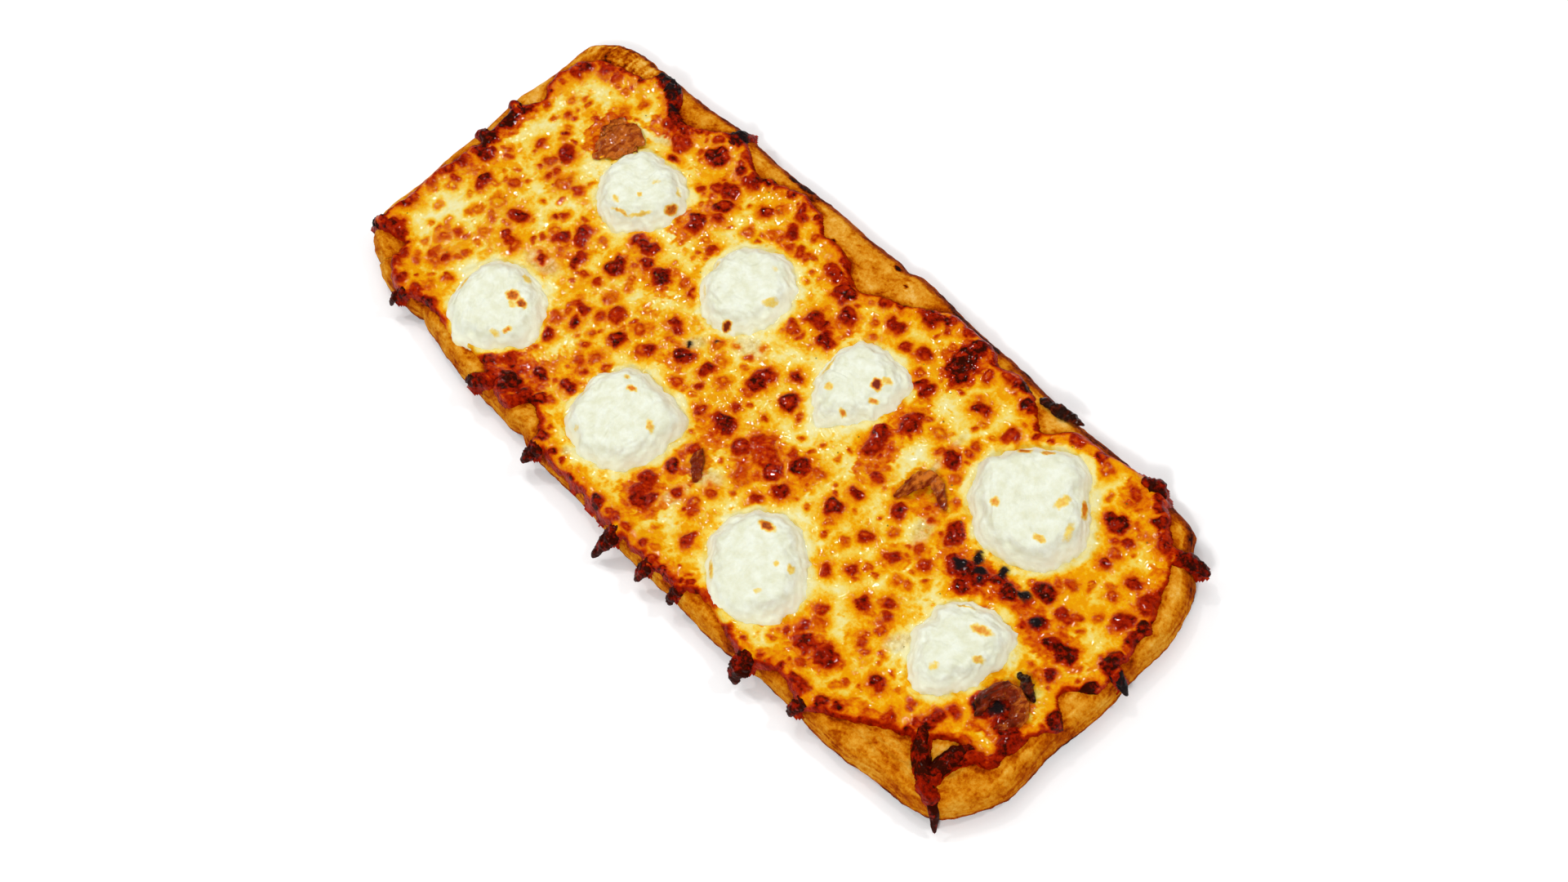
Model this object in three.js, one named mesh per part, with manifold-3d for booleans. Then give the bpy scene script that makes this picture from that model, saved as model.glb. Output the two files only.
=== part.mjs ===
// White flatbread: a baked rectangular crust under a melted sheet of overlapping cheese slices, with
// browned blisters and burnt drips, eight spooned dollops of ricotta and six pieces of cooked onion.
// Millimetres, +Z up, long side along X. The origin is the middle of the crust's flat underside.
import * as THREE from "three";
import { mergeVertices } from "three/addons/utils/BufferGeometryUtils.js";
import Module from "manifold-3d";

const wasm = await Module();
wasm.setup();

// Driving dimensions of the crust; far is the +Y side, right is the +X end
const CRUST_LENGTH = 306.5;
const CRUST_END_WIDTH = 126.4;
const CRUST_END_BOW = 1.5;
// How much further each long side reaches at the middle than at the ends
const BELLY = { far: 3.4, near: 5 };
const CORNER_RADIUS = { farRight: 26, farLeft: 15, nearLeft: 23, nearRight: 28 };
const FIELD_HEIGHT = 9.2; // top of the flat dough inside the rim
const RIM_HEIGHT = 11.4;
const CRUST_STEPS = 112;
const EDGE_WOBBLE = 0.5;
const EDGE_WAVES = [[7.3, 5.1], [17, -11]]; // how slowly the edge wanders along X and along Y, twice over
const RIM_WOBBLE = 0.45;
const RIM_WAVE = 1.7; // how much faster the rim rises and dips than the sheet
// The edge from the underside up over the rim, as distance in from the edge and height
const RIM_PROFILE = [
  [3.2, 0],
  [0.9, 1.3],
  [0, 4.4],
  [0.7, 8.2],
  [2.7, RIM_HEIGHT - 0.7],
  [5.6, RIM_HEIGHT],
  [9.8, RIM_HEIGHT - 0.9],
  [16, FIELD_HEIGHT],
];
// Torn places in the edge: where along it, on which long side, half-width and depth
const NICKS = [
  { x: -47, side: -1, half: 3.2, depth: 1.8 },
  { x: -108, side: -1, half: 2.6, depth: 1.5 },
  { x: -137, side: -1, half: 6, depth: 1.6 },
  { x: 128, side: -1, half: 14, depth: 2.2 },
  { x: 4, side: 1, half: 2.6, depth: 1.2 },
  { x: 143, side: 1, half: 5, depth: 2.2 },
];
const NICK_SIDE = 0.6; // share of the half-width beyond which an edge point belongs to a long side

// Driving dimensions of the melted cheese
const CHEESE_THICKNESS = 2.3;
const SLICE_STEP = 0.7;
const SWELL = 0.5; // height of the slow rises and dips in the sheet
// How slowly they follow each other across and along the bread, and how slowly those waves bend
const SWELL_ACROSS = { wave: 9.1, bend: 13 };
const SWELL_ALONG = { wave: 7.7, bend: 17 };
const SWELL_FROM = 10; // distance in from the crust's edge where they start
const GAP = 0.32; // clearance between pieces that touch
const SHEET_TOP = FIELD_HEIGHT + CHEESE_THICKNESS;
const ABOVE_ALL = 40; // a height over everything
// The sheet from its buried foot up over the rim and in, as distance in from the crust's edge and height
const SHEET_PROFILE = [
  [-1.9, 5.5],
  [-0.6, 10.2],
  [1.8, RIM_HEIGHT + CHEESE_THICKNESS - 1.3],
  [4.8, RIM_HEIGHT + CHEESE_THICKNESS - 0.1],
  [9.8, RIM_HEIGHT + CHEESE_THICKNESS - 0.9],
  [16, SHEET_TOP],
  [30, SHEET_TOP],
  [46, SHEET_TOP],
];
const BLISTER_RISE = 1.1;
const BLISTER_SINK = 0.6; // share of the rise by which the middle of a blister lies under the sheet's top
const BLISTER_SIDES = 6;
const BLISTER_RINGS = 4;
// Where the melted sheet ends on the crust, counter-clockwise from the +X end
const CHEESE_EDGE = [
  [145, -1], [150, 3], [149, 10], [146, 20], [145.5, 28], [140, 38], [138, 46], [133, 53],
  [125, 60], [116, 65.5], [106, 63], [98, 61], [88, 60.5], [79, 53], [73, 57], [60, 62.3],
  [53, 60], [46, 63.5], [30, 63], [20, 58.5], [4, 51], [-5, 48.5], [-12, 54], [-20, 55.2],
  [-25, 54.5], [-32, 59.5], [-44, 60.6], [-54, 58], [-60, 55.5], [-70, 60], [-77, 63],
  [-84, 58.5], [-95, 53.2], [-103, 54.5], [-111, 61], [-118, 61.3], [-121, 56], [-135, 52.3],
  [-142, 48], [-146, 42], [-147.5, 31], [-144, 25], [-145.5, 20], [-148.5, 14], [-147.5, 4],
  [-146.5, -5], [-148, -20], [-148, -40], [-148.6, -50], [-142, -50.5], [-133, -49.5],
  [-131.5, -57], [-122, -62.5], [-108, -59], [-90, -59.5], [-76, -59], [-68, -61.5], [-55, -64],
  [-51, -57], [-44, -59], [-37, -65.3], [-15, -66.2], [10, -67], [30, -66], [45, -61.2],
  [58, -64.2], [69, -65.6], [79, -60.5], [90, -63], [103, -56.5], [113, -49.5], [119, -46.5],
  [124, -43], [128, -38.5], [132, -36.5], [136, -38], [143, -36.5], [145.5, -27], [146.5, -20],
  [150, -12], [144, -8], [143, -4],
].map(([x, y]) => new THREE.Vector2(x, y));
const CHEESE_EDGE_STEPS = 180;
// How far the cooked edge wanders in and out between those points, and how often along it, twice over
const EDGE_FRAY = 0.55;
const FRAY_TURNS = [2.4, 1.1];
// A paler slice that melted last and lies over the sheet at the left end
const SLICE = [
  [-128.6, -3], [-145, -21], [-156, -34], [-152, -53], [-128, -50], [-119, -38], [-118.5, -25],
  [-122.5, -12],
];
const SLICE_STEPS = 28;
// Browned blisters, as centre, half-length, half-width and turn in degrees
const BLISTERS = [
  [-118, 15, 4.6, 3.4, 40], [-133, -13, 4.2, 2.8, -50], [-145.5, -13, 3.4, 3.2, 0],
  [-142, -6, 5.6, 2.6, 30], [-111, -13.5, 4.2, 2.8, 0], [-88, -3, 4.4, 2.8, -55],
  [-82, -10, 4.6, 2.6, -65], [-77, 50.5, 4.6, 4, 0], [-62.5, 45, 4.2, 3.2, 30], [-59.5, 38.5, 3.2, 3.8, 0],
  [-62, 28, 4.2, 4, -30], [-69, 9.5, 5.4, 2.8, 12], [-62.5, 5, 3.2, 3, 0], [-55, 5.5, 4.2, 4, 0],
  [-69.5, -2.5, 3.4, 4, 0], [-38, -3.5, 5.6, 2.4, -10], [-26, -10, 3.8, 3.4, 40],
  [-47, -21, 3, 3.2, 0], [-55, -15.5, 3.4, 2.8, 60], [-65, -24, 3.8, 3.2, 0], [-62, -54, 10.5, 6.5, 0],
  [-45, -43.5, 4.2, 2.6, 20], [-35.5, 50, 2.6, 3.8, 0], [-5, 31, 7, 3.2, -5], [3, 38.5, 3, 4.2, 0],
  [-13, 47, 4.6, 2.6, -15], [0, 3, 3.6, 5, 0], [13, 3.5, 3, 3.4, 0], [3, -17, 5.6, 3.8, 0],
  [20, -15, 8, 5.4, -15], [33, -9.5, 4.6, 3.4, 0], [50, -12, 2.6, 3.4, 0], [2.5, -38.5, 4, 2.6, 0],
  [3, -53, 5.4, 4.8, 0], [18, 47, 4.2, 3, -20], [24, 56.5, 3.6, 2.8, 0], [44.5, 53, 5.6, 8, 0],
  [41, 37.5, 3.4, 3, 0], [46.5, 26, 3.4, 4.6, 20], [44, 13, 3.8, 8.4, 15], [60, 45.5, 4, 3.2, 30],
  [66, 26, 4, 3, -30], [76, -10.5, 3.4, 2.6, 10], [80, -27, 2.8, 2.6, 0], [76, -49, 4.4, 3.4, 20],
  [85, -47, 4.6, 3.8, 0], [84, 8.5, 3.8, 4.6, 0], [98, 3, 8.5, 4.4, 10], [117, 15, 4.4, 3.2, 0],
  [134, 5, 6, 3.8, 15], [117.5, 46, 4.2, 3.2, 0], [102, -42, 4.2, 2.6, 0],
];
// Burnt drips and veins of cheese, as half-width at the thickest and the points each one runs through
const DRIPS = [
  { half: 2.2, path: [[-117, -60, 12.6], [-120.2, -65, 9], [-121.4, -67.3, 5]] },
  { half: 2.6, path: [[-68, -62, 12.6], [-73, -65.6, 10.4], [-77, -66.4, 7]] },
  { half: 2.9, path: [[-36, -62, 12.8], [-38, -69.4, 8.6], [-40.3, -71.6, 4]] },
  { half: 2.9, path: [[6, -64, 12.8], [4.5, -71, 8], [2.8, -77, 2.4]] },
  { half: 2.5, path: [[22, -63, 12.8], [21, -70, 8], [19.8, -72.2, 4]] },
  { half: 2.3, path: [[35, -62, 12.6], [34.6, -68.4, 8.6], [34.2, -69.4, 4.2]] },
  { half: 3.5, path: [[67, -62, 12.6], [67.5, -69.4, 8], [68, -72.2, 3]] },
  { half: 2.3, path: [[90, -60, 12.6], [89, -65.2, 9.5], [88.4, -67, 5.5]] },
  {
    half: 3.1,
    path: [[121, -41, 12], [126.5, -47.5, 11.4], [134, -52.5, 11.8], [140, -55.5, 9.6], [144.5, -60, 2.6]],
  },
  { half: 3.5, path: [[137, -35, 12], [133.4, -44, 11.4], [134.4, -53.5, 11.8]] },
  { half: 2.3, path: [[144, 12, 12.4], [151, 10.4, 11], [155.8, 9.6, 6]] },
  { half: 2.4, path: [[136, 50, 12.4], [142, 52.5, 12], [148, 53.8, 9]] },
  { half: 3, path: [[113, 60.5, 12.6], [117.5, 63, 12.2], [122, 61.5, 11.2]] },
  { half: 2.6, path: [[-77, 57, 12.4], [-76.6, 62, 12.2], [-76, 64.4, 11.4]] },
  { half: 2.8, path: [[-106, 55, 12.4], [-110, 58.6, 12.2], [-117, 60, 11.4]] },
  { half: 2.1, path: [[-143, 15, 12.6], [-149, 15, 12], [-153, 15, 9]] },
  { half: 2.6, path: [[-143, -1, 12.6], [-148.5, -1, 12], [-151.5, -1.5, 9.6]] },
  { half: 3, path: [[-142, -47, 12.4], [-147, -49.6, 11.8], [-150.6, -51.8, 9]] },
];
const DRIP_FLATNESS = 0.8; // thickness as a share of width
const DRIP_TAPER = 0.25;
const DRIP_SIDES = 6;
const DRIP_RINGS = 4;
const BLUNTNESS = 0.5; // how bluntly drips and strips of onion end, where 1 is the most pointed

// Ricotta: each dollop is a centre, the reach of its edge at every 45 degrees from +X, and its height
const DOLLOP_SINK = 1.2; // how far the blank starts below the cheese before it is cut to lie on it
const DOLLOP_SIDES = 24;
const DOLLOP_FOLD = 0.5; // how far the spoon's folds stand up and dip
const DOLLOP_SWIRL = 9; // how fast the folds follow each other from the crown to the edge
const DOLLOPS = [
  { x: -85.5, y: 22, reach: [17.5, 18.5, 15.5, 17.5, 17, 17, 17, 15.5], height: 7.6 },
  { x: -88.5, y: -42.5, reach: [20.5, 18.5, 17.5, 19, 17.5, 17.5, 18.5, 18], height: 8.2 },
  { x: -29, y: 21.5, reach: [17, 18.5, 18, 17.5, 16.5, 16, 18.5, 17.5], height: 7.2 },
  { x: -21.5, y: -40, reach: [18.5, 22, 18.5, 21, 20, 20.5, 18.5, 18], height: 8.4 },
  { x: 25, y: 22.5, reach: [13, 17, 15.5, 17, 14.5, 15, 18, 13], height: 7 },
  { x: 48, y: -42.5, reach: [18.5, 17.5, 18.5, 20, 19.5, 17, 19, 20.5], height: 8.2 },
  { x: 95, y: 32, reach: [22.5, 18.5, 23, 20.5, 23, 20.5, 20, 21.5], height: 9.2 },
  { x: 111.5, y: -16.5, reach: [13.5, 17.5, 17, 15.5, 15, 16.5, 19.5, 14.5], height: 7.6 },
];
// The dome from the buried edge to the crown, as share of the reach and share of the height
const DOLLOP_PROFILE = [
  [0, 0], [0.9, 0], [1, 0.16], [0.97, 0.42], [0.88, 0.68], [0.68, 0.9], [0.36, 0.99], [0, 1],
];

// Onion: a leaf, strips and curls along a path, with half-width, half-thickness and how far they narrow
const ONIONS = [
  { half: 11.4, thick: 1, taper: 0.72, path: [[-108.4, 40, 12.4], [-108, 31, 13.2], [-109.4, 20, 12.2]] },
  {
    half: 2.6,
    thick: 1,
    taper: 0.2,
    path: [[61, 4, 12], [64.5, 14.5, 13.2], [69, 16, 13.4], [77, 12, 12.2]],
  },
  {
    half: 2.1,
    thick: 1.1,
    taper: 0.2,
    path: [[70, 60.3, 11.7], [77, 61.3, 12.2], [82, 62.1, 11.9], [87, 63.6, 10.6]],
  },
  {
    half: 2.3,
    thick: 1.6,
    taper: 0.1,
    path: [
      [130.4, -28, 12.4], [128.3, -22, 13.2], [131, -16.4, 13.6],
      [136.6, -16.4, 13.6], [139.4, -21.6, 13.2], [136.6, -27, 12.2],
    ],
  },
  { half: 2.4, thick: 1.1, taper: 0.2, path: [[4, -28, 12], [8, -32.5, 13.2], [12, -37, 12]] },
  { half: 2, thick: 1.3, taper: 0.3, path: [[129.4, -9.4, 12.2], [133.4, -10.4, 13.4], [139.4, -13, 12.4]] },
];
const STRIP_SIDES = 8;
const STRIP_RINGS = 7;

const MATERIALS = {
  crust: new THREE.MeshStandardMaterial({ color: "#c98a3c", roughness: 0.75, metalness: 0 }),
  cheese: new THREE.MeshStandardMaterial({ color: "#e9b13c", roughness: 0.4, metalness: 0 }),
  ricotta: new THREE.MeshStandardMaterial({ color: "#f3f4e2", roughness: 0.6, metalness: 0 }),
  onion: new THREE.MeshStandardMaterial({ color: "#6b3312", roughness: 0.35, metalness: 0 }),
};

// Solids and geometries
function solidOf(geometry) {
  const bare = new THREE.BufferGeometry();
  bare.setAttribute("position", geometry.getAttribute("position"));
  bare.setIndex(geometry.index);
  const merged = mergeVertices(bare, 1e-3);
  const corners = [];
  for (let i = 0; i < merged.index.count; i += 3) {
    const [a, b, c] = [0, 1, 2].map((k) => merged.index.getX(i + k));
    if (a !== b && b !== c && c !== a) corners.push(a, b, c);
  }
  const mesh = new wasm.Mesh({
    numProp: 3,
    vertProperties: merged.attributes.position.array,
    triVerts: new Uint32Array(corners),
  });
  return new wasm.Manifold(mesh);
}

function geometryOf(solid) {
  const mesh = solid.getMesh();
  const geometry = new THREE.BufferGeometry();
  geometry.setAttribute("position", new THREE.BufferAttribute(mesh.vertProperties, 3));
  geometry.setIndex(new THREE.BufferAttribute(mesh.triVerts, 1));
  geometry.computeVertexNormals();
  return geometry;
}

function largest(solid) {
  return solid.decompose().sort((a, b) => b.volume() - a.volume())[0];
}

// Moves each vertex of a geometry by place(index, x, y, z), which returns the new position
function reshape(geometry, place) {
  const position = geometry.getAttribute("position");
  for (let i = 0; i < position.count; i += 1) {
    const moved = place(i, position.getX(i), position.getY(i), position.getZ(i));
    position.setXYZ(i, moved.x, moved.y, moved.z);
  }
  return geometry;
}

// An upright prism over a closed outline
function prism(outline, low, high) {
  const settings = { depth: high - low, bevelEnabled: false };
  const block = new THREE.ExtrudeGeometry(new THREE.Shape(outline), settings);
  return solidOf(block.translate(0, 0, low));
}

// Outlines
function belly(x, y) {
  return (y > 0 ? BELLY.far : BELLY.near) * Math.cos((Math.PI * x) / CRUST_LENGTH) ** 2;
}

function crustOutline() {
  const halfLength = CRUST_LENGTH / 2 - CRUST_END_BOW;
  const halfWidth = CRUST_END_WIDTH / 2;
  const corners = [
    [1, 1, CORNER_RADIUS.farRight, 0],
    [-1, 1, CORNER_RADIUS.farLeft, 90],
    [-1, -1, CORNER_RADIUS.nearLeft, 180],
    [1, -1, CORNER_RADIUS.nearRight, 270],
  ];
  const shape = new THREE.Shape();
  for (const [sideX, sideY, radius, start] of corners) {
    const from = THREE.MathUtils.degToRad(start);
    const middle = [sideX * (halfLength - radius), sideY * (halfWidth - radius)];
    shape.absarc(...middle, radius, from, from + Math.PI / 2);
  }
  shape.closePath();
  const bowed = (p) => {
    const out = new THREE.Vector2(p.x / halfLength, p.y / halfWidth);
    const bow = CRUST_END_BOW * Math.cos((Math.PI * p.y) / CRUST_END_WIDTH) ** 2;
    const wave = (sum, [slowX, slowY]) => sum + EDGE_WOBBLE * Math.sin(p.x / slowX + p.y / slowY);
    const wobble = EDGE_WAVES.reduce(wave, 0);
    const torn = NICKS.filter((nick) => nick.side * out.y > NICK_SIDE);
    const bite = (nick) => nick.depth * Math.exp(-(((p.x - nick.x) / nick.half) ** 2));
    const push = torn.reduce((sum, nick) => sum - bite(nick), wobble);
    const x = p.x + out.x * bow + Math.round(out.x) * push;
    const y = p.y + out.y * belly(p.x, p.y) + Math.round(out.y) * push;
    return new THREE.Vector2(x, y);
  };
  return shape.getSpacedPoints(CRUST_STEPS).slice(0, CRUST_STEPS).map(bowed);
}

function smoothLoop(points, steps) {
  const knots = points.map((p) => new THREE.Vector3(p.x, p.y, 0));
  const curve = new THREE.CatmullRomCurve3(knots, true, "centripetal");
  return curve.getSpacedPoints(steps).slice(0, steps).map((p) => new THREE.Vector2(p.x, p.y));
}

const CRUST_EDGE = crustOutline();
// Every point of the edge heads for the nearest point of this inner rectangle as it goes in
const INNER_X = CRUST_LENGTH / 2 - 64;
const INNER_Y = CRUST_END_WIDTH / 2 - 55;
const CENTRE = Infinity; // stands for the middle in a profile

function inward(edge, inset) {
  const goal = new THREE.Vector2(
    THREE.MathUtils.clamp(edge.x, -INNER_X, INNER_X),
    THREE.MathUtils.clamp(edge.y, -INNER_Y, INNER_Y),
  );
  return edge.clone().addScaledVector(goal.sub(edge).normalize(), inset);
}

// Slow unevenness of a surface, between -1 and 1
function swell(x, y) {
  const across = Math.sin(x / SWELL_ACROSS.wave + Math.sin(y / SWELL_ACROSS.bend));
  const along = Math.sin(y / SWELL_ALONG.wave + Math.sin(x / SWELL_ALONG.bend));
  return (across + along) / 2;
}

// A closed body round the crust's outline: place(inset, height, edge) moves each entry of the profile
function ringed(profile, place) {
  const lathe = new THREE.LatheGeometry(profile.map((_, i) => new THREE.Vector2(1, i)), CRUST_STEPS);
  return solidOf(reshape(lathe, (index) => {
    const edge = CRUST_EDGE[Math.floor(index / profile.length) % CRUST_STEPS];
    const [inset, height] = profile[index % profile.length];
    return inset === CENTRE ? new THREE.Vector3(0, 0, height) : place(inset, height, edge);
  }));
}

// The crust, swollen on all sides by grow where it is used to cut others clear of it
function crust(grow) {
  const middle = FIELD_HEIGHT / 2;
  const profile = [[CENTRE, -grow], ...RIM_PROFILE, [CENTRE, FIELD_HEIGHT + grow]];
  return ringed(profile, (inset, height, edge) => {
    const at = inward(edge, inset - grow);
    const uneven = height > FIELD_HEIGHT ? RIM_WOBBLE * swell(edge.x * RIM_WAVE, edge.y * RIM_WAVE) : 0;
    return new THREE.Vector3(at.x, at.y, height + uneven + (height > middle ? grow : -grow));
  });
}

// A closed drop of round or flat section bent along a path
function bent(points, half, thick, sides, rings, taper) {
  const path = new THREE.CatmullRomCurve3(points.map((p) => new THREE.Vector3(...p)));
  const profile = Array.from({ length: rings + 1 }, (_, i) => {
    const along = i / rings;
    return new THREE.Vector2(Math.sin(Math.PI * along) ** BLUNTNESS, along);
  });
  const lathe = new THREE.LatheGeometry(profile, sides);
  const up = new THREE.Vector3(0, 0, 1);
  return solidOf(reshape(lathe, (_, x, along, z) => {
    const t = THREE.MathUtils.clamp(along, 0, 1);
    const tangent = path.getTangentAt(t);
    const side = new THREE.Vector3().crossVectors(up, tangent).normalize();
    const over = new THREE.Vector3().crossVectors(side, tangent);
    const shrink = 1 - taper * t;
    const middle = path.getPointAt(t);
    return middle.addScaledVector(side, x * half * shrink).addScaledVector(over, z * thick * shrink);
  }));
}

// The melted sheet over the whole crust, raised by lift, before its edge is cut
function sheet(lift) {
  const profile = [[CENTRE, SHEET_PROFILE[0][1]], ...SHEET_PROFILE, [CENTRE, SHEET_TOP + lift]];
  return ringed(profile, (inset, height, edge) => {
    const at = inward(edge, inset);
    const uneven = inset > SWELL_FROM ? SWELL * swell(at.x, at.y) : 0;
    return new THREE.Vector3(at.x, at.y, height + uneven + (height > FIELD_HEIGHT ? lift : 0));
  });
}

// Height of the sheet's top over a place well inside the edge
function sheetHeight(x, y) {
  const inset = Math.min(CRUST_LENGTH / 2 - Math.abs(x), CRUST_END_WIDTH / 2 + belly(x, y) - Math.abs(y));
  const next = SHEET_PROFILE.findIndex(([reach]) => reach > inset);
  if (next < 1) return SHEET_TOP + SWELL * swell(x, y);
  const [near, far] = [SHEET_PROFILE[next - 1], SHEET_PROFILE[next]];
  return THREE.MathUtils.mapLinear(inset, near[0], far[0], near[1], far[1]);
}

function blister([x, y, halfLength, halfWidth, turn]) {
  const dome = new THREE.SphereGeometry(1, BLISTER_SIDES, BLISTER_RINGS).rotateX(Math.PI / 2);
  dome.scale(halfLength, halfWidth, BLISTER_RISE * 2).rotateZ(THREE.MathUtils.degToRad(turn));
  return solidOf(dome.translate(x, y, sheetHeight(x, y) - BLISTER_RISE * BLISTER_SINK));
}

function drip({ half, path }) {
  return bent(path, half, half * DRIP_FLATNESS, DRIP_SIDES, DRIP_RINGS, DRIP_TAPER);
}

// The cooked edge of the sheet, frayed between its named points
function frayedEdge() {
  const edge = smoothLoop(CHEESE_EDGE, CHEESE_EDGE_STEPS);
  const fray = (i) => FRAY_TURNS.reduce((sum, turn) => sum + EDGE_FRAY * Math.sin(i * turn), 0);
  return edge.map((p, i) => p.clone().setLength(p.length() + fray(i)));
}

function cheese(crustCut) {
  const slice = smoothLoop(SLICE.map(([x, y]) => new THREE.Vector2(x, y)), SLICE_STEPS);
  const layers = sheet(0).add(sheet(SLICE_STEP).intersect(prism(slice, 0, ABOVE_ALL)));
  const sheets = layers.intersect(prism(frayedEdge(), 0, ABOVE_ALL));
  const bits = [...BLISTERS.map(blister), ...DRIPS.map(drip)];
  const cooked = bits.reduce((whole, bit) => whole.add(bit), sheets);
  return largest(cooked.subtract(crustCut));
}

function dollop({ x, y, reach, height }, cut) {
  const middle = new THREE.Vector2();
  const turn = (2 * Math.PI) / reach.length;
  const corners = reach.map((r, i) => new THREE.Vector2(r, 0).rotateAround(middle, i * turn));
  const outline = smoothLoop(corners, DOLLOP_SIDES);
  const foot = SHEET_TOP - DOLLOP_SINK;
  const profile = DOLLOP_PROFILE.map(([share, z]) => new THREE.Vector2(share, z));
  const lathe = new THREE.LatheGeometry(profile, DOLLOP_SIDES);
  const blank = reshape(lathe, (index, _, up) => {
    const side = Math.floor(index / profile.length) % DOLLOP_SIDES;
    const share = profile[index % profile.length].x;
    const swirl = Math.sin(share * DOLLOP_SWIRL + (4 * Math.PI * side) / DOLLOP_SIDES + x);
    const fold = up > 0 ? DOLLOP_FOLD * swirl * share : 0;
    const top = foot + (height + DOLLOP_SINK) * up + fold;
    return new THREE.Vector3(x + share * outline[side].x, y + share * outline[side].y, top);
  });
  return largest(solidOf(blank).subtract(cut));
}

function onion({ path, half, thick, taper }, cut) {
  return largest(bent(path, half, thick, STRIP_SIDES, STRIP_RINGS, taper).subtract(cut));
}

// The flatbread
function piece(name, solid, material) {
  const mesh = new THREE.Mesh(geometryOf(solid), material);
  mesh.name = name;
  return mesh;
}

const flatbread = new THREE.Group();
const crustCut = crust(GAP);
const cheeseSolid = cheese(crustCut);
const laidOn = crustCut.add(cheeseSolid).add(cheeseSolid.translate([0, 0, GAP]));
const dollopSolids = DOLLOPS.map((spoonful) => dollop(spoonful, laidOn));
flatbread.add(piece("crust", crust(0), MATERIALS.crust));
flatbread.add(piece("cheese", cheeseSolid, MATERIALS.cheese));
dollopSolids.forEach((solid, i) => flatbread.add(piece(`ricotta_${i + 1}`, solid, MATERIALS.ricotta)));
ONIONS.forEach((strip, i) => flatbread.add(piece(`onion_${i + 1}`, onion(strip, laidOn), MATERIALS.onion)));

// The origin goes to the middle of the whole bread's bounding box, on its underside
const extent = new THREE.Box3().setFromObject(flatbread).getCenter(new THREE.Vector3());
flatbread.position.set(-extent.x, -extent.y, 0);

export default flatbread;
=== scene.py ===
"""Looks of the white flatbread: baked crust, melted and browned cheese, ricotta dollops and cooked onion.

Shapes are worked out in millimetres in the part's own drawing frame, whose origin is the middle of the crust.
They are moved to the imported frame, in metres, when a mesh is made.
"""
import math

import bpy
import numpy as np
from mathutils import Matrix, Vector


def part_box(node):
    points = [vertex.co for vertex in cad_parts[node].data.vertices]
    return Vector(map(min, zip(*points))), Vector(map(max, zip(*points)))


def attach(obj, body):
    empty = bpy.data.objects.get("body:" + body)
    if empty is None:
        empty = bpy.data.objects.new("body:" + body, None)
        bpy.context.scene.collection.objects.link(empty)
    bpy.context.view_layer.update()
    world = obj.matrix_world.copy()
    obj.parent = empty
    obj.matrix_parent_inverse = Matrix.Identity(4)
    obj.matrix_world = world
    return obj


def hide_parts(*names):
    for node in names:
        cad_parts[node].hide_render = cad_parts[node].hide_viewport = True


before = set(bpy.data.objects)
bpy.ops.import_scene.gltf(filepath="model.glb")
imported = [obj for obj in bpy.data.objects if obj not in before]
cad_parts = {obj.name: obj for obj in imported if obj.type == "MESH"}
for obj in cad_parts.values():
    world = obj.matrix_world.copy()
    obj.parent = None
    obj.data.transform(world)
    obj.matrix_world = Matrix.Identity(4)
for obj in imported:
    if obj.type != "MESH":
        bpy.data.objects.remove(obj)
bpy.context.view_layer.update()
scene = bpy.context.scene

MM = 0.001
# Grid on which the distances to the outlines are kept
FIELD_STEP = 0.8
FIELD_REACH = (162.0, 82.0)

# Crust, as in the part's source
CRUST_LENGTH = 306.5
CRUST_END_WIDTH = 126.4
CRUST_END_BOW = 1.5
BELLY_FAR = 3.4
BELLY_NEAR = 5.0
CORNERS = [(1, 1, 26.0), (-1, 1, 15.0), (-1, -1, 23.0), (1, -1, 28.0)]
FIELD_HEIGHT = 9.2
RIM_HEIGHT = 11.4
EDGE_WOBBLE = 0.5
RIM_PROFILE = [
    (3.2, 0.0), (0.9, 1.3), (0.0, 4.4), (0.7, 8.2), (2.7, RIM_HEIGHT - 0.7), (5.6, RIM_HEIGHT),
    (9.8, RIM_HEIGHT - 0.9), (16.0, FIELD_HEIGHT), (22.0, FIELD_HEIGHT),
]
NICKS = [
    (-47, -1, 3.2, 1.8), (-108, -1, 2.6, 1.5), (-137, -1, 6.0, 1.6), (128, -1, 14.0, 2.2), (4, 1, 2.6, 1.2),
    (143, 1, 5.0, 2.2),
]
# Height at which the wall ends and the top begins
WALL_TOP = 7.6
# Points round the crust, and the insets of its rings: close on the brim, a step apart, wide in the middle
CRUST_STEPS = 960
BRIM_WIDTH = 1.4
TOP_STEP = 0.62
TOP_REACH = 28
MIDDLE_INSETS = [32.0, 40.0, 60.0]
UNDER_INSETS = [60.0, 30.0, 12.0, 6.0]
# The rings shrink towards a middle this far in from the ends and the sides. Past the closing inset they lie
# on the middle line.
MIDDLE_START = (64, 55)
CLOSING_INSET = 52.0
# Burnt specks on the bare rim: centre and size
BURNS = [(-45, 64, 3.2), (-22, 55.5, 1.5), (9, 60, 1.1), (2, 63, 1.5), (-51, 63.5, 2.0)]

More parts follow.
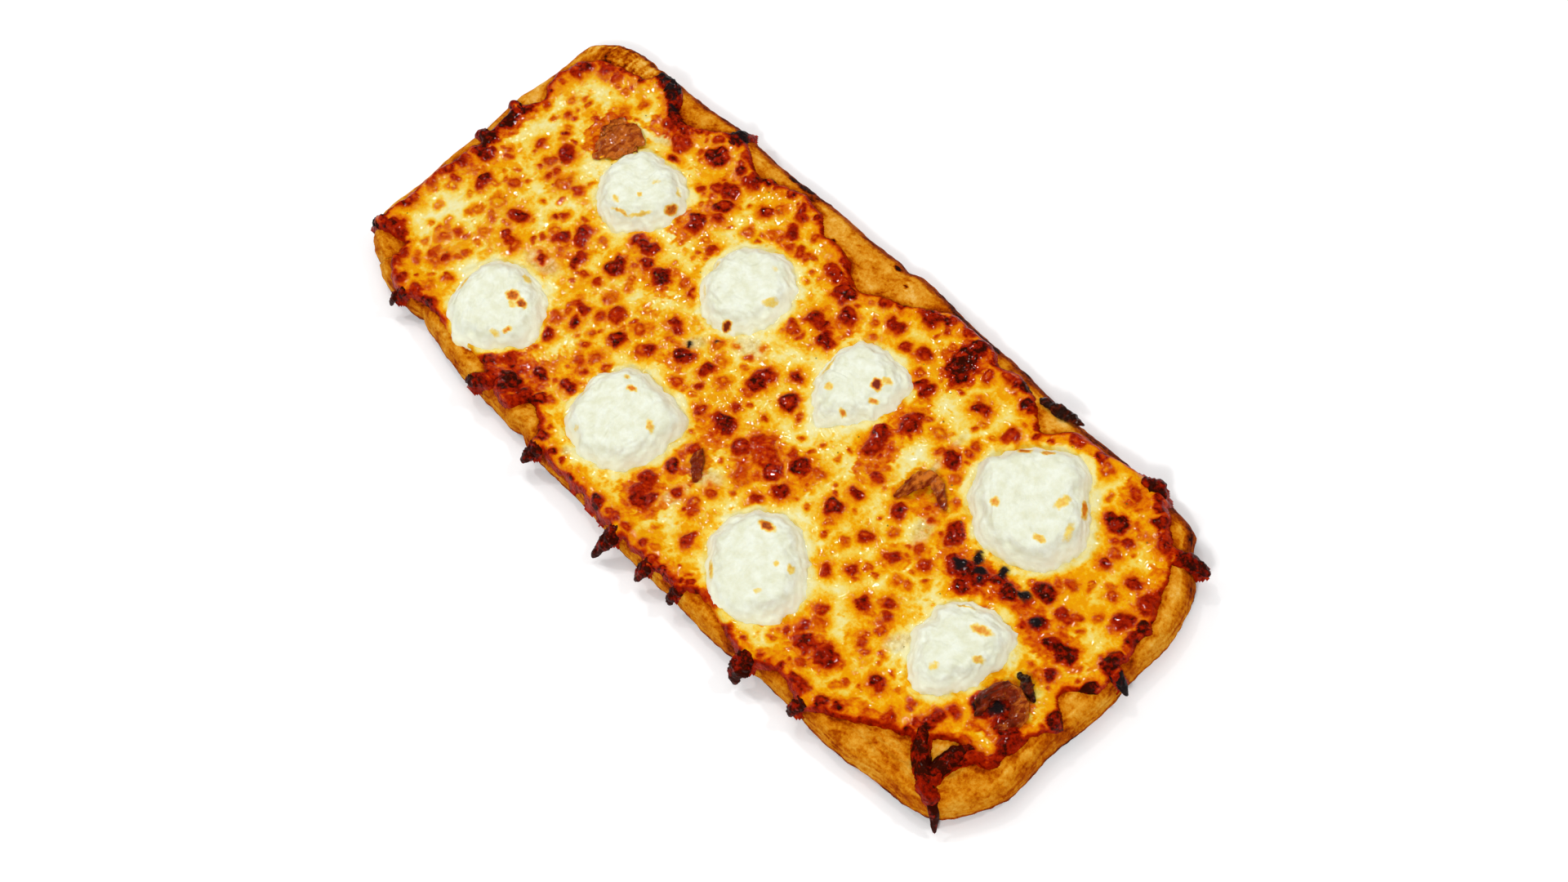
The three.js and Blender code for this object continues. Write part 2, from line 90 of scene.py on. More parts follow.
# Cheese
CHEESE_THICKNESS = 2.3
CHEESE_EDGE = [
    (146, -1), (150.5, 3), (150, 10), (148.4, 20), (147.6, 28), (143, 38), (139.6, 46), (133, 53),
    (125, 60), (116, 65.5), (106, 63), (98, 61), (88, 60.5), (79, 53), (73, 57), (60, 62.3), (53, 60),
    (46, 63.5), (30, 63), (20, 58.5), (4, 51), (-5, 48.5), (-12, 54), (-20, 55.2), (-25, 54.5), (-32, 59.5),
    (-44, 60.6), (-54, 58), (-60, 55.5), (-70, 60), (-77, 63), (-84, 58.5), (-95, 53.2), (-103, 54.5),
    (-111, 61), (-118, 61.3), (-121, 56), (-135, 52.3), (-142, 48), (-146, 42), (-147.5, 31), (-144, 25),
    (-145.5, 20), (-148.5, 14), (-147.5, 4), (-146.5, -5), (-148, -20), (-148, -40), (-148.6, -50),
    (-142, -50.5), (-133, -49.5), (-131.5, -57), (-122, -62.5), (-108, -59), (-90, -59.5), (-76, -59),
    (-68, -61.5), (-55, -64), (-51, -57), (-44, -59), (-37, -65.3), (-15, -66.2), (10, -67), (30, -66),
    (45, -61.2), (58, -64.2), (69, -65.6), (79, -60.5), (90, -63), (103, -56.5), (113, -49.5), (119, -46.5),
    (124, -43), (128, -38.5), (132, -36.5), (136, -38), (143, -36.5), (145.5, -27), (146.5, -20),
    (150, -12), (144, -8), (143, -4),
]
CHEESE_EDGE_STEPS = 760
# Step and reach of the sheet's grid
CHEESE_GRID = 0.62
CHEESE_REACH = [(-154, 154), (-72, 70)]
# Inset at which the sheet is cut off
CHEESE_TRIM = -1.2
# To the right of this the edge has fewer bubbles, which lie further out
RIGHT_END = 132
# Small bubbles strewn over the sheet: their number, where they may lie, their sizes and how often each comes
STREWN_COUNT = 330
STREWN_REACH = [(-149, 149), (-66, 64)]
STREWN_SIZES = [0.5, 0.8, 1.2, 1.7]
STREWN_SHARES = [0.3, 0.34, 0.22, 0.14]
# How far a bubble's browning is worked out beyond its edge
BUBBLE_MARGIN = 6
PALE_SLICE = [
    (-128.6, -3), (-145, -21), (-156, -34), (-152, -53), (-128, -50), (-119, -38), (-118.5, -25),
    (-122.5, -12),
]
# Browned spots: centre, half-length, half-width, turn in degrees and how dark
SPOTS = [
    (-118, 15, 4.6, 3.2, 40, .87), (-121.5, 8.5, 3, 2, 20, .8), (-117, 4, 1.6, 1.5, 0, .78),
    (-131.5, 25.5, 2.2, 1.6, 0, .82), (-126, 20, 1.7, 1.6, 0, .9), (-133, -13, 4.2, 2.6, -50, .87),
    (-145.5, -13, 3.4, 3, 0, .86), (-142, -6, 5.6, 2.4, 30, .88), (-140, -20, 2.6, 1.5, -20, .8),
    (-111, -13.5, 4.2, 2.6, 5, .86), (-106, -22, 5, 2, -15, .85), (-118, -20, 2, 1.5, 0, .68),
    (-93, -9, 3.6, 2.2, 60, .82), (-88, -3, 4.4, 2.8, -55, .86), (-91, -19, 2.2, 2.2, 0, .84),
    (-82, -10, 4.6, 2.6, -65, .86), (-99, -2, 2.5, 1.2, 0, .76), (-103, 8, 2.2, 1.5, 0, .78),
    (-109.5, 6.5, 2.4, 3, 0, .62), (-116, -26, 3, 1.6, 50, .56), (-122, -33, 1.6, 1.5, 0, .82),
    (-117, -42, 2.5, 2, 0, .82), (-122, -45, 1.6, 1.5, 0, .78), (-114, -36, 1.8, 1.3, 0, .72),
    (-125, -38, 1.4, 1.6, 0, .7), (-110, -47, 1.6, 1.4, 0, .7), (-107, -58, 4.4, 2.2, 20, .92),
    (-77, 50.5, 4.6, 4, 0, .88), (-62.5, 45, 4.2, 2.6, 30, .85), (-59.5, 38.5, 2.8, 3.8, 0, .87),
    (-59, 52, 2.2, 5, 10, .88), (-67.5, 42.5, 2.6, 2, 0, .82), (-62, 28, 4.2, 4, -30, .88),
    (-57, 34, 2.4, 2, 0, .82), (-50, 24.5, 2.4, 2.2, 0, .84), (-69, 9.5, 5.4, 2.6, 12, .88),
    (-62.5, 5, 3, 2.8, 0, .86), (-55, 5.5, 4, 4, 0, .87), (-69.5, -2.5, 3.2, 3.8, 0, .87),
    (-70, -11, 2.2, 1.5, 0, .78), (-42, 8, 2, 2.2, 0, .82), (-38, -3.5, 5.6, 2.2, -10, .86),
    (-26, -10, 3.6, 3.4, 40, .87), (-16, -7, 2, 2.6, 0, .86), (-13.5, -13.5, 3, 1.6, -20, .84),
    (-7, -18, 2.6, 2.4, 0, .8), (-36, -16, 2.6, 2, 0, .84), (-55, -15.5, 3, 2.6, 60, .84),
    (-58.5, -19, 2, 1.8, 0, .82), (-47, -21, 2.8, 3, 0, .87), (-61, -12, 2, 2, 0, .62),
    (-66, -21.5, 4, 2, 0, .86), (-63, -26.5, 2.6, 2.2, 0, .88), (-67, -36.5, 3.4, 2.2, -20, .85),
    (-46, -37, 2.4, 1.3, -30, .82), (-42, -30, 1.4, 1.7, 0, .8), (-45, -43.5, 4.2, 2.4, 20, .86),
    (-57, -48, 3, 2.4, 0, .9), (-69, -51, 4.6, 3.6, 20, .8), (-60, -56.5, 7.5, 3.6, 0, .92),
    (-73, -57, 3.4, 3, 0, .86), (-50, -57, 2.6, 4.2, 0, .88), (-35, 48, 2.4, 2.6, 0, .84),
    (-36, 54, 1.6, 2.4, 0, .8), (-47.5, 47, 2, 2.2, 0, .84), (-27, 45, 2.8, 1.6, -35, .82),
    (-46, 38, 1.6, 1.4, 0, .6), (-13, 47, 4.6, 2.4, -15, .82), (-4, 44, 3, 4, 30, .84),
    (-5, 31, 7, 3, -5, .87), (-7, 23, 2, 2.4, 0, .76), (3, 38.5, 3, 4, 0, .86), (4, 27.5, 4.6, 2.4, 0, .87),
    (6, 11.5, 4.2, 2, 15, .85), (0, 2, 3, 4.8, 0, .85), (13, 3.5, 2.8, 3.4, 0, .86),
    (33, -9.5, 4.6, 3.2, 0, .87), (27, -8, 2.4, 1.4, 0, .8), (34, -19, 3.2, 2.6, 0, .85),
    (50, -12, 2.2, 3.2, 0, .84), (52, -3.5, 2.2, 2, 0, .9), (3, -17, 5.6, 3.6, 0, .87),
    (20, -14, 8, 4.6, -15, .74), (13, -18, 2.4, 3, 0, .84), (27, -17, 2, 3, 0, .84),
    (20, -25, 4, 2.4, 0, .66), (3, -29, 2.4, 2.4, 0, .84), (2.5, -38.5, 3.8, 2.4, 0, .86),
    (3, -53, 5, 4.6, 0, .84), (-1, -47, 3, 3, 0, .82), (25, -52, 1.8, 2.8, 0, .8),
    (18, -44, 2, 1.8, 0, .76), (30, -27, 2.4, 2, 0, .8), (18, 47, 4.2, 2.8, -20, .86),
    (24, 56.5, 3.4, 2.6, 0, .84), (32, 57, 2, 1.7, 0, .8), (25, 44, 2, 1.8, 0, .83),
    (32, 46, 3, 2.8, 0, .86), (15, 39, 1.7, 1.4, 0, .64), (44.5, 53, 5.4, 8, 0, .92),
    (41, 37.5, 3.4, 2.8, 0, .86), (46.5, 26, 3.2, 4.6, 20, .85), (44, 13, 3.6, 8.2, 15, .83),
    (53.5, 5, 3, 2, 0, .84), (60, 45.5, 4, 2.8, 30, .85), (62, 60, 4, 1.8, 0, .9),
    (66, 26, 4, 2.8, -30, .87), (73.5, 44, 1.8, 2.6, 0, .88), (65, -11, 2.2, 2.2, 0, .85),
    (76, -10.5, 3.2, 2.4, 10, .87), (70, -22, 2, 1.9, 0, .8), (64, -28, 2.4, 2, 0, .82),
    (72, -38, 2, 2, 0, .8), (72, -45, 2.2, 1.8, 0, .8), (76, -49, 4.4, 3.2, 20, .85),
    (80, -27, 2.8, 2.4, 0, .86), (86, -21, 2, 2, 0, .83), (85, -47, 4.6, 3.6, 0, .84),
    (66, 2, 3, 2.4, 0, .84), (84, 8.5, 3.4, 4.6, 0, .84), (85, -5, 2.4, 1.8, 0, .8),
    (97, 3, 8.5, 3.4, 10, .88), (97, -3, 5, 2.4, 15, .88), (107, 7, 5, 2.6, -10, .88),
    (102, -42, 4, 2.4, 5, .86), (112, -46.5, 2, 2.2, 0, .82), (106, -56, 4, 2, 30, .9),
    (86, -58.5, 3, 2, 0, .86), (117, 46, 4, 3, 0, .87), (123.5, 44, 2.2, 2, 0, .82),
    (124, 34, 2.6, 2, 0, .85), (134.5, 35, 3, 2.4, 0, .84), (121, 22, 2.2, 2, 0, .74),
    (132, 28, 2, 1.8, 0, .72), (117, 15, 3.8, 3, 0, .88), (127, 13, 3, 2.2, 0, .85),
    (134, 20, 1.6, 1.4, 0, .74), (134, 5, 6, 3.4, 15, .89), (122, 6, 3.2, 2.6, 0, .9),
    (137, -3, 3, 2.4, 0, .86), (140, 24, 2.4, 3.4, 0, .84), (133, -17, 4.6, 4, 0, .86),
    (129, -24, 4, 3.6, 0, .88), (138, -24, 4, 3, 0, .86), (122, -38, 2.2, 4, 0, .87),
    (113, -37, 2, 1.6, 0, .7), (124, -31, 3, 1.8, 30, .8), (137, -37, 5.4, 3.2, 0, .76),
    (-88, 39, 3, 2, 0, .85), (-99, 50, 6, 3, 20, .82), (-91, 46, 4, 3.4, 0, .8),
    (-114, 33, 2.6, 5.4, 10, .9), (-146, 9, 2.8, 6.4, 0, .92), (-146.5, 20, 2.2, 3.6, 20, .9),
    (-145, -1, 3, 3.4, 0, .94), (-143, 40, 2.4, 3, 40, .84), (-140, -47, 6, 2.4, -12, .86),
    (147, 12, 2.6, 3.8, 0, .9), (148.5, 1, 2.2, 4.4, 0, .93), (148, -12, 2.4, 4.4, 0, .9),
    (143, -27, 2.2, 5.6, 0, .88), (142, 33, 2.4, 4, 20, .86), (134, 50, 3.4, 2.6, 40, .88),
    (-115.5, 59, 4.2, 2.6, 0, .94), (-108.5, 57, 4.6, 2.6, -35, .95), (-103.5, 52.5, 3.4, 2.4, -50, .92),
    (-97, 51.5, 4, 2.2, -10, .9), (-77, 60, 4, 3, 0, .94),
]
# Charred lumps: centre and size
CHARS = [
    (92.2, 3.1, 1.9), (95, 8.2, 2.1), (98.5, 5.4, 1.5), (103.6, 10.6, 2.5), (101, 3.4, 1.4),
    (113.8, 10, 2.2), (121.6, 4.8, 1.6), (112, 8.4, 1.1), (132.6, -21.8, 2.8), (127.6, -25.6, 1.5),
    (-27, -4.6, 1.5), (-21.6, 2.2, 1.0), (-117.5, 60.2, 1.8), (-114, 60.6, 2.2), (-110.5, 59, 1.8),
    (-107, 56.2, 1.6), (-103.6, 53.2, 1.3), (-78.5, 61.2, 2.2), (-74.6, 62.4, 1.9), (-77.5, 64, 1.6),
]
# A drip hangs when it ends below the first height, and lies on the crust where it is above the second
HANGS_BELOW = 9
LIES_ABOVE = 10.6
DRIP_GLOSS = 0.25
# Drips and veins: half-width, how charred, and path
DRIPS = [
    (2.1, 0.3, [(-117, -60, 12.6), (-120.2, -65, 9), (-121.4, -67.3, 5)]),
    (2.6, 0.1, [(-68, -62, 12.6), (-73, -65.6, 10.4), (-77, -66.4, 7)]),
    (2.9, 0.2, [(-36, -62, 12.8), (-38, -69.4, 8.6), (-40.3, -71.6, 4)]),
    (2.9, 0.1, [(6, -64, 12.8), (4.5, -71, 8), (2.8, -77, 2.4)]),
    (2.5, 0.2, [(22, -63, 12.8), (21, -70, 8), (19.8, -72.2, 4)]),
    (2.3, 0.1, [(35, -62, 12.6), (34.6, -68.4, 8.6), (34.2, -69.4, 4.2)]),
    (3.5, 0.1, [(67, -62, 12.6), (67.5, -69.4, 8), (68, -72.2, 3)]),
    (2.3, 0.1, [(90, -60, 12.6), (89, -65.2, 9.5), (88.4, -67, 5.5)]),
    (2.7, 0.1, [
        (121, -41, 12), (126.5, -47.5, 11.4), (134, -52.5, 11.8), (140, -55.5, 9.6), (144.5, -60, 2.6),
    ]),
    (3.1, 0.1, [(137, -35, 12), (133.4, -44, 11.4), (134.4, -53.5, 11.8)]),
    (2.3, 0.9, [(144, 12, 12.4), (151, 10.4, 11), (155.8, 9.6, 6)]),
    (2.4, 0.4, [(136, 50, 12.4), (142, 52.5, 12), (148, 53.8, 9)]),
    (3.0, 0.5, [(113, 60.5, 12.6), (117.5, 63, 12.2), (122, 61.5, 11.2)]),
    (3.0, 0.95, [(-77, 57, 12.9), (-76.6, 62, 12.7), (-76, 64.4, 11.6)]),
    (2.8, 0.95, [(-106, 55, 13.2), (-110, 58.6, 13.2), (-117, 60, 12.4)]),
    (2.1, 0.7, [(-143, 15, 12.6), (-149, 15, 12), (-153, 15, 9)]),
    (2.6, 0.6, [(-143, -1, 12.6), (-148.5, -1, 12), (-151.5, -1.5, 9.6)]),
    (3.0, 0.7, [(-142, -47, 12.4), (-147, -49.6, 11.8), (-150.6, -51.8, 9)]),
]
# Broad browned zones between the spots: centre, half-length, half-width, turn in degrees and how dark
ZONES = [
    (113, 4, 28, 7, 3, .66), (-63, -53, 12.5, 7, 5, .7), (20, -17, 9, 9, 0, .6), (46, 12, 6, 12, 10, .62),
    (44, 53, 7, 9, 0, .76), (-86, -8, 8, 8, 0, .54), (-63, 42, 6, 12, 20, .6), (-40, -8, 12, 5, -10, .5),
    (5, -34, 8, 6, 0, .6), (3, -52, 9, 8, 0, .6), (88, -31, 6, 11, 0, .5), (-98, 48, 10, 5, 20, .64),
    (133, -21, 9, 9, 0, .7), (79, -48, 10, 6, 0, .62), (105, -52, 12, 4, 28, .62), (-140, -9, 9, 7, 0, .54),
    (-144, 10, 4, 14, 0, .66), (-10, 45, 9, 5, 0, .54), (2, 34, 8, 9, 0, .56), (68, 12, 9, 8, 0, .56),
    (32, -12, 8, 8, 0, .54), (-60, 3, 14, 6, 0, .5), (119, 54, 12, 5, -30, .56), (-115, 31, 8, 10, 0, .68),
    (140, 34, 4, 14, 10, .6), (43, 30, 5, 10, 0, .56), (3, -20, 8, 6, 0, .58), (76, -10, 6, 6, 0, .48),
    (-64, 26, 6, 8, -20, .58), (-50, -40, 10, 6, 20, .5), (-30, -12, 9, 5, 0, .52), (134, -38, 8, 4, 0, .6),
]
# Broad tones of the cheese: centre, half-length, half-width and how much paler or more golden
TONES = [
    (-134, 22, 12, 20, -0.12), (-136, -31, 14, 15, -0.24), (-105, -2, 10, 7, -0.05), (-45, -8, 10, 8, -0.1),
    (-18, 12, 10, 12, -0.12), (26, -3, 10, 6, -0.12), (60, 36, 12, 14, -0.08), (58, 14, 7, 9, -0.08),
    (75, -32, 10, 22, -0.12), (18, -55, 14, 7, -0.1), (130, 28, 10, 14, 0.1), (-15, -62, 16, 4, -0.05),
    (-66, -54, 12, 9, 0.12), (5, 28, 14, 8, 0.12), (20, -16, 14, 8, 0.2), (42, 52, 10, 10, 0.14),
    (46, 12, 8, 12, 0.12), (100, 4, 16, 8, 0.16), (130, -22, 14, 14, 0.16), (-90, -16, 22, 8, 0.08),
    (90, -33, 6, 8, 0.2), (-92, 48, 12, 6, 0.18),
]
# Pale translucent onion under the cheese: centre, half-length, half-width and turn in degrees
ONION_VEILS = [
    (-12, 8, 6, 4, 20), (-27, -4, 5, 2.5, 60), (-96, 44, 6, 3, 30), (10, -45, 6, 3, 80), (76, 3, 3, 7, 20),
    (-90, -20, 8, 3.5, 10), (14, -33, 5, 3, 40), (63, 26, 1.6, 9, 5), (-27, -60, 2, 1.5, 0),
    (97, -28, 5, 3, 60),
]

# Ricotta: centre, reach of the edge at every 45 degrees, height, and the toasted marks, each put like a spot
DOLLOPS = [
    (-85.5, 22, (17.5, 18.5, 15.5, 17.5, 17, 17, 17, 15.5), 7.6, [
        (-86.2, 12.9, 1.6, 1.1, 0, .32), (-81.4, 19.8, 1.1, 0.9, 0, .36), (-82, 11, 3.6, .6, 15, .46),
        (-76.2, 15.1, 4.3, .6, 51, .36), (-70.6, 24.5, 2.4, 1.1, 80, .72), (-73.4, 30.3, 2.4, .6, 147, .25),
        (-80.6, 27.2, 1.6, .8, 40, .2),
    ]),
    (-88.5, -42.5, (20.5, 18.5, 17.5, 19, 17.5, 17.5, 18.5, 18), 8.2, [
        (-82.8, -36.5, 2.5, 2.0, 20, .72), (-78.4, -36.4, 1.8, 1.5, 0, .78), (-101, -45, .8, 3.0, 10, .35),
        (-86, -28.6, 2.2, .9, 165, .3), (-77, -49.7, 1.9, 1, 18, .3), (-74.5, -46, 1.6, .8, 75, .6),
        (-80.3, -38.8, 1.6, 1.0, 0, .35),
    ]),
    (-29, 21.5, (17, 18.5, 18, 17.5, 16.5, 16, 18.5, 17.5), 7.2, [
        (-17, 22.9, 2.6, 1.3, 63, .32), (-42, 20.3, 1.8, 1, 73, .2), (-37.5, 11, 3, .7, 141, .15),
        (-25, 32.4, 1.4, 1, 166, .15), (-22.4, 7.4, 1.7, 1.2, 80, .95),
    ]),
    (-21.5, -40, (18.5, 22, 18.5, 21, 20, 20.5, 18.5, 18), 8.4, [
        (-10.7, -35.5, 2, 1.2, 147, .42), (-25.4, -30.8, 1.7, 1.1, 28, .62), (-30, -29, 1, .9, 63, .4),
        (-28.7, -52.6, 1, .8, 153, .2), (-37, -42.5, 1.8, .4, 99, .3),
    ]),
    (25, 22.5, (14.5, 18.5, 16.5, 17.5, 14.5, 15, 19, 14), 7.0, [
        (31.3, 26.2, 2.0, 1.8, 135, .9), (33, 29.5, 1.8, 1, 20, .4), (13.7, 20.8, 4, .9, 98, .3),
        (20.3, 15.2, 1.6, 1.2, 7, .42), (29.7, 12.2, 1.2, 1, 173, .55), (34.2, 21.6, 1.4, .9, 40, .55),
    ]),
    (48, -42.5, (18.5, 17.5, 18.5, 20, 19.5, 17, 19, 20.5), 8.2, [
        (42.6, -32, 2.7, 1.5, 14, .78), (39.8, -53.9, 3, .8, 142, .4), (58.4, -36.3, 1.5, 1.2, 134, .35),
        (54.1, -38.5, 1.2, 1, 156, .3), (56.6, -48.6, 1.3, 1, 34, .25),
    ]),
    (95, 32, (22.5, 18.5, 23, 20.5, 23, 20.5, 20, 21.5), 9.2, [
        (81.5, 42.5, 2.2, 1.2, 41, .7), (87.5, 46.5, 2.4, 1, 41, .5), (102.8, 37.3, 3, 1.6, 82, .36),
        (110.7, 31.8, 3, 1.1, 111, .3), (108.2, 41.2, 3, .9, 129, .62), (106.1, 23.6, 2, 1.1, 18, .45),
        (87.9, 23, 1.7, 1.4, 140, .5),
    ]),
    (111.5, -16.5, (13.5, 17.5, 17, 15.5, 15, 16.5, 19.5, 14.5), 7.6, [
        (114.1, -9.1, 3.4, 1.5, 23, .5), (119.5, -16, 2, 1.1, 42, .42), (111.8, -26.8, 1.6, 1.2, 69, .3),
        (104.6, -6.6, 2.6, .5, 34, .42),
    ]),
]
DOLLOP_SIDES = 150
DOLLOP_RINGS = 52

# From this half-width on a strip is a leaf, and has no beads on it
WIDE_LEAF = 5
# Onion: half-width, half-thickness, how far it narrows, how burnt, where the burnt side lies, and path
ONIONS = [
    (10.8, 0.9, 0.7, -0.15, (-0.8, 0.1), [(-108.8, 40, 11.8), (-108.4, 31, 12.7), (-109.6, 20, 11.8)]),
    (2.6, 1.0, 0.2, 0.35, (0.3, -0.3), [(61, 4, 12.4), (64.5, 14.5, 13.6), (69, 16, 13.8), (77, 12, 12.6)]),
    (2.1, 1.1, 0.2, 0.95, (0, 0), [(70, 60.3, 11.7), (77, 61.3, 12.2), (82, 62.1, 11.9), (87, 63.6, 10.6)]),
    (3.0, 1.7, 0.1, 0.6, (-0.35, -0.3), [
        (130.4, -28, 12.4), (128.3, -22, 13.2), (131, -16.4, 13.6), (136.6, -16.4, 13.6),
        (139.4, -21.6, 13.2), (136.6, -27, 12.2),
    ]),
    (2.4, 1.1, 0.2, 0.5, (0, 0), [(4, -28, 12), (8, -32.5, 13.2), (12, -37, 12)]),
    (2.0, 1.3, 0.3, 0.95, (0, 0), [(129.4, -9.4, 12.2), (133.4, -10.4, 13.4), (139.4, -13, 12.4)]),
]

# Camera, fitted to the photograph
CAMERA_AZIMUTH = math.radians(64.98)
CAMERA_ELEVATION = math.radians(62.41)
CAMERA_ROLL = math.radians(-19.05)
CAMERA_DISTANCE = 628.3
CAMERA_FOCAL = 43.09
CAMERA_SHIFT = (0.0146, -0.0253)
SENSOR_WIDTH = 36

# Lamps: place in metres, size, power and whether its glint shows in the gloss
LAMPS = {
    "softbox": ((-0.4, 0.4, 1.1), 0.9, 3.3, False),
    "key": ((0.5, -0.65, 1.0), 0.36, 3.6, False),
    "glint_key": ((0.5, -0.65, 1.0), 0.09, 2.6, True),
    "glint_top": ((-0.5, 0.2, 1.0), 0.06, 1.1, True),
    "glint_far": ((0.45, 0.7, 1.0), 0.09, 2.8, True),
    "glint_left": ((-0.85, -0.25, 0.95), 0.09, 2.4, True),
}
SKY_STRENGTH = 0.41
FLOOR_HALF = 4.0
FLOOR_GREYS = (0.975, 0.99)

# Colours, as sRGB out of 255; on a scale, the number before each says where it is reached
CHEESE_COLOURS = [
    (0.00, (228, 222, 170)), (0.15, (230, 215, 140)), (0.30, (231, 197, 76)),
    (0.43, (229, 163, 2)), (0.56, (218, 117, 0)), (0.69, (196, 72, 0)),
    (0.82, (170, 32, 0)), (0.93, (126, 11, 0)), (1.00, (50, 6, 2)),
]
CRUST_COLOURS = [
    (0.00, (232, 182, 92)), (0.20, (222, 156, 46)), (0.40, (206, 124, 12)), (0.60, (174, 78, 0)),
    (0.78, (136, 46, 0)), (0.92, (84, 22, 0)), (1.00, (34, 12, 8)),
]
VEIL_COLOURS = ((168, 128, 60), (232, 216, 164))
CHAR_COLOUR = (24, 17, 20)
HERB_COLOUR = (92, 92, 30)
CURD_COLOURS = ((219, 220, 192), (232, 235, 218))
# Painted light: a paler colour for the dollops' steep sides, to lift the shade on them
CURD_SIDE_PAINTED_LIGHT = (247, 249, 221)
CURD_FOOT_COLOUR = (238, 228, 168)
# Where each colour of the toasted marks sets in and is full, and the colour; the same for burnt onion
TOAST_COLOURS = [(0.02, 0.35, (234, 204, 92)), (0.35, 0.7, (218, 116, 4)), (0.75, 1.0, (124, 28, 0))]
ONION_COLOURS = ((204, 110, 30), (140, 48, 4))
ONION_BURNS = [(0.15, 0.5, (120, 28, 2)), (0.55, 0.95, (30, 8, 6))]
# Gloss: warm tints for the dull layers, and one smooth wet coat for the cheese and the onion
WARM_TINT = (1.0, 0.55, 0.16, 1)
ONION_TINT = (1.0, 0.5, 0.2, 1)
COAT_ROUGHNESS = 0.08
COAT_IOR = 1.43


# Noise
def noise(x, y, seed):
    """Smooth noise, about -1 to 1, with one bump per unit."""
    count = 256
    turns = np.random.default_rng(seed).random((count, count)) * 2 * np.pi
    lean_x, lean_y = np.cos(turns), np.sin(turns)
    column, row = np.floor(x).astype(int), np.floor(y).astype(int)
    across, along = x - column, y - row
    weight_x = across**3 * (across * (across * 6 - 15) + 10)
    weight_y = along**3 * (along * (along * 6 - 15) + 10)
    total = 0
    for i in (0, 1):
        for j in (0, 1):
            a, b = (column + i) % count, (row + j) % count
            slope = lean_x[a, b] * (across - i) + lean_y[a, b] * (along - j)
            weight = (weight_x if i else 1 - weight_x) * (weight_y if j else 1 - weight_y)
            total = total + slope * weight
    return 1.5 * total


def fractal(x, y, seed, octaves=4):
    """Noise with finer and weaker copies of itself added."""
    total = 0
    for octave in range(octaves):
        finer = noise(x * 2**octave + 17 * octave, y * 2**octave - 11 * octave, seed + octave)
        total = total + finer / 2**octave
    return total / 1.6


def bumps(x, y, size, seed):
    """Smooth noise with its bumps so many millimetres apart."""
    return noise(x / size, y / size, seed)


def rough(x, y, size, seed, octaves=3):
    """Fractal noise with its broadest bumps so many millimetres apart."""
    return fractal(x / size, y / size, seed, octaves)


def ridges(x, y, seed, octaves=2):
    """Sharp crests, up to 1, with rounded hollows between, down to about -1."""
    return 1 - 2 * np.abs(fractal(x, y, seed, octaves)) * 1.6


def cells(x, y, seed):
    """Distance to the nearest of one strewn point per unit square, and that point's own chance number."""
    count = 64
    rng = np.random.default_rng(seed)
    jitter, chance = rng.random((count, count, 2)), rng.random((count, count))
    column, row = np.floor(x).astype(int), np.floor(y).astype(int)
    nearest, number = np.full(x.shape, 9.0), np.zeros(x.shape)
    for i in (-1, 0, 1):
        for j in (-1, 0, 1):
            a, b = (column + i) % count, (row + j) % count
            gap = np.hypot(column + i + jitter[a, b, 0] - x, row + j + jitter[a, b, 1] - y)
            closer = gap < nearest
            nearest = np.where(closer, gap, nearest)
            number = np.where(closer, chance[a, b], number)
    return nearest, number


def ease(value, start, end):
    """0 before start, 1 after end, smooth between; start may be above end."""
    t = np.clip((value - start) / (end - start), 0, 1)
    return t * t * (3 - 2 * t)


def dome(share):
    """Height of a round lump, out of 1, at a share of its radius."""
    return np.sqrt(np.clip(1 - share**2, 0, 1))


# Lines
def unit(vectors):
    """The same directions with a length of 1."""
    return vectors / np.linalg.norm(vectors, axis=1)[:, None]


def turned(x, y, angle):
    """The same place, or pair of directions, seen along axes turned by an angle."""
    cosine, sine = math.cos(angle), math.sin(angle)
    return x * cosine + y * sine, y * cosine - x * sine


def spaced(line, steps, closed=True):
    """The same line with evenly spaced points."""
    if closed:
        line = np.vstack([line, line[:1]])
    run = np.concatenate([[0], np.cumsum(np.linalg.norm(np.diff(line, axis=0), axis=1))])
    at = np.linspace(0, run[-1], steps, endpoint=not closed)
    return np.stack([np.interp(at, run, line[:, k]) for k in range(line.shape[1])], 1)


def between(a, b, t, start, end):
    """On the way from a, at the start, to b, at the end."""
    return (end - t) / (end - start) * a + (t - start) / (end - start) * b


def smooth_loop(points, steps):
    """Evenly spaced points on a closed centripetal Catmull-Rom curve through the given ones."""
    p = np.array(points, float)
    count = len(p)
    fine = []
    for i in range(count):
        a, b, c, d = p[i - 1], p[i], p[(i + 1) % count], p[(i + 2) % count]
        knots = [0.0]
        for start, end in ((a, b), (b, c), (c, d)):
            knots.append(knots[-1] + max(np.linalg.norm(end - start), 1e-6) ** 0.5)
        k0, k1, k2, k3 = knots
        t = np.linspace(k1, k2, 16, endpoint=False)[:, None]
        first, second, third = between(a, b, t, k0, k1), between(b, c, t, k1, k2), between(c, d, t, k2, k3)
        early, late = between(first, second, t, k0, k2), between(second, third, t, k1, k3)
        fine.append(between(early, late, t, k1, k2))
    return spaced(np.vstack(fine), steps)


def smooth_line(points, steps):
    """An open Catmull-Rom curve through the given points, with so many steps from one to the next."""
    p = np.array(points, float)
    padded = np.vstack([p[0] * 2 - p[1], p, p[-1] * 2 - p[-2]])
    t = np.linspace(0, 1, steps, endpoint=False)[:, None]
    curve = []
    for i in range(1, len(padded) - 2):
        p0, p1, p2, p3 = padded[i - 1:i + 3]
        curve.append(0.5 * (2 * p1 + (p2 - p0) * t + (2 * p0 - 5 * p1 + 4 * p2 - p3) * t**2
                            + (3 * p1 - p0 - 3 * p2 + p3) * t**3))
    return np.vstack([*curve, p[-1:]])


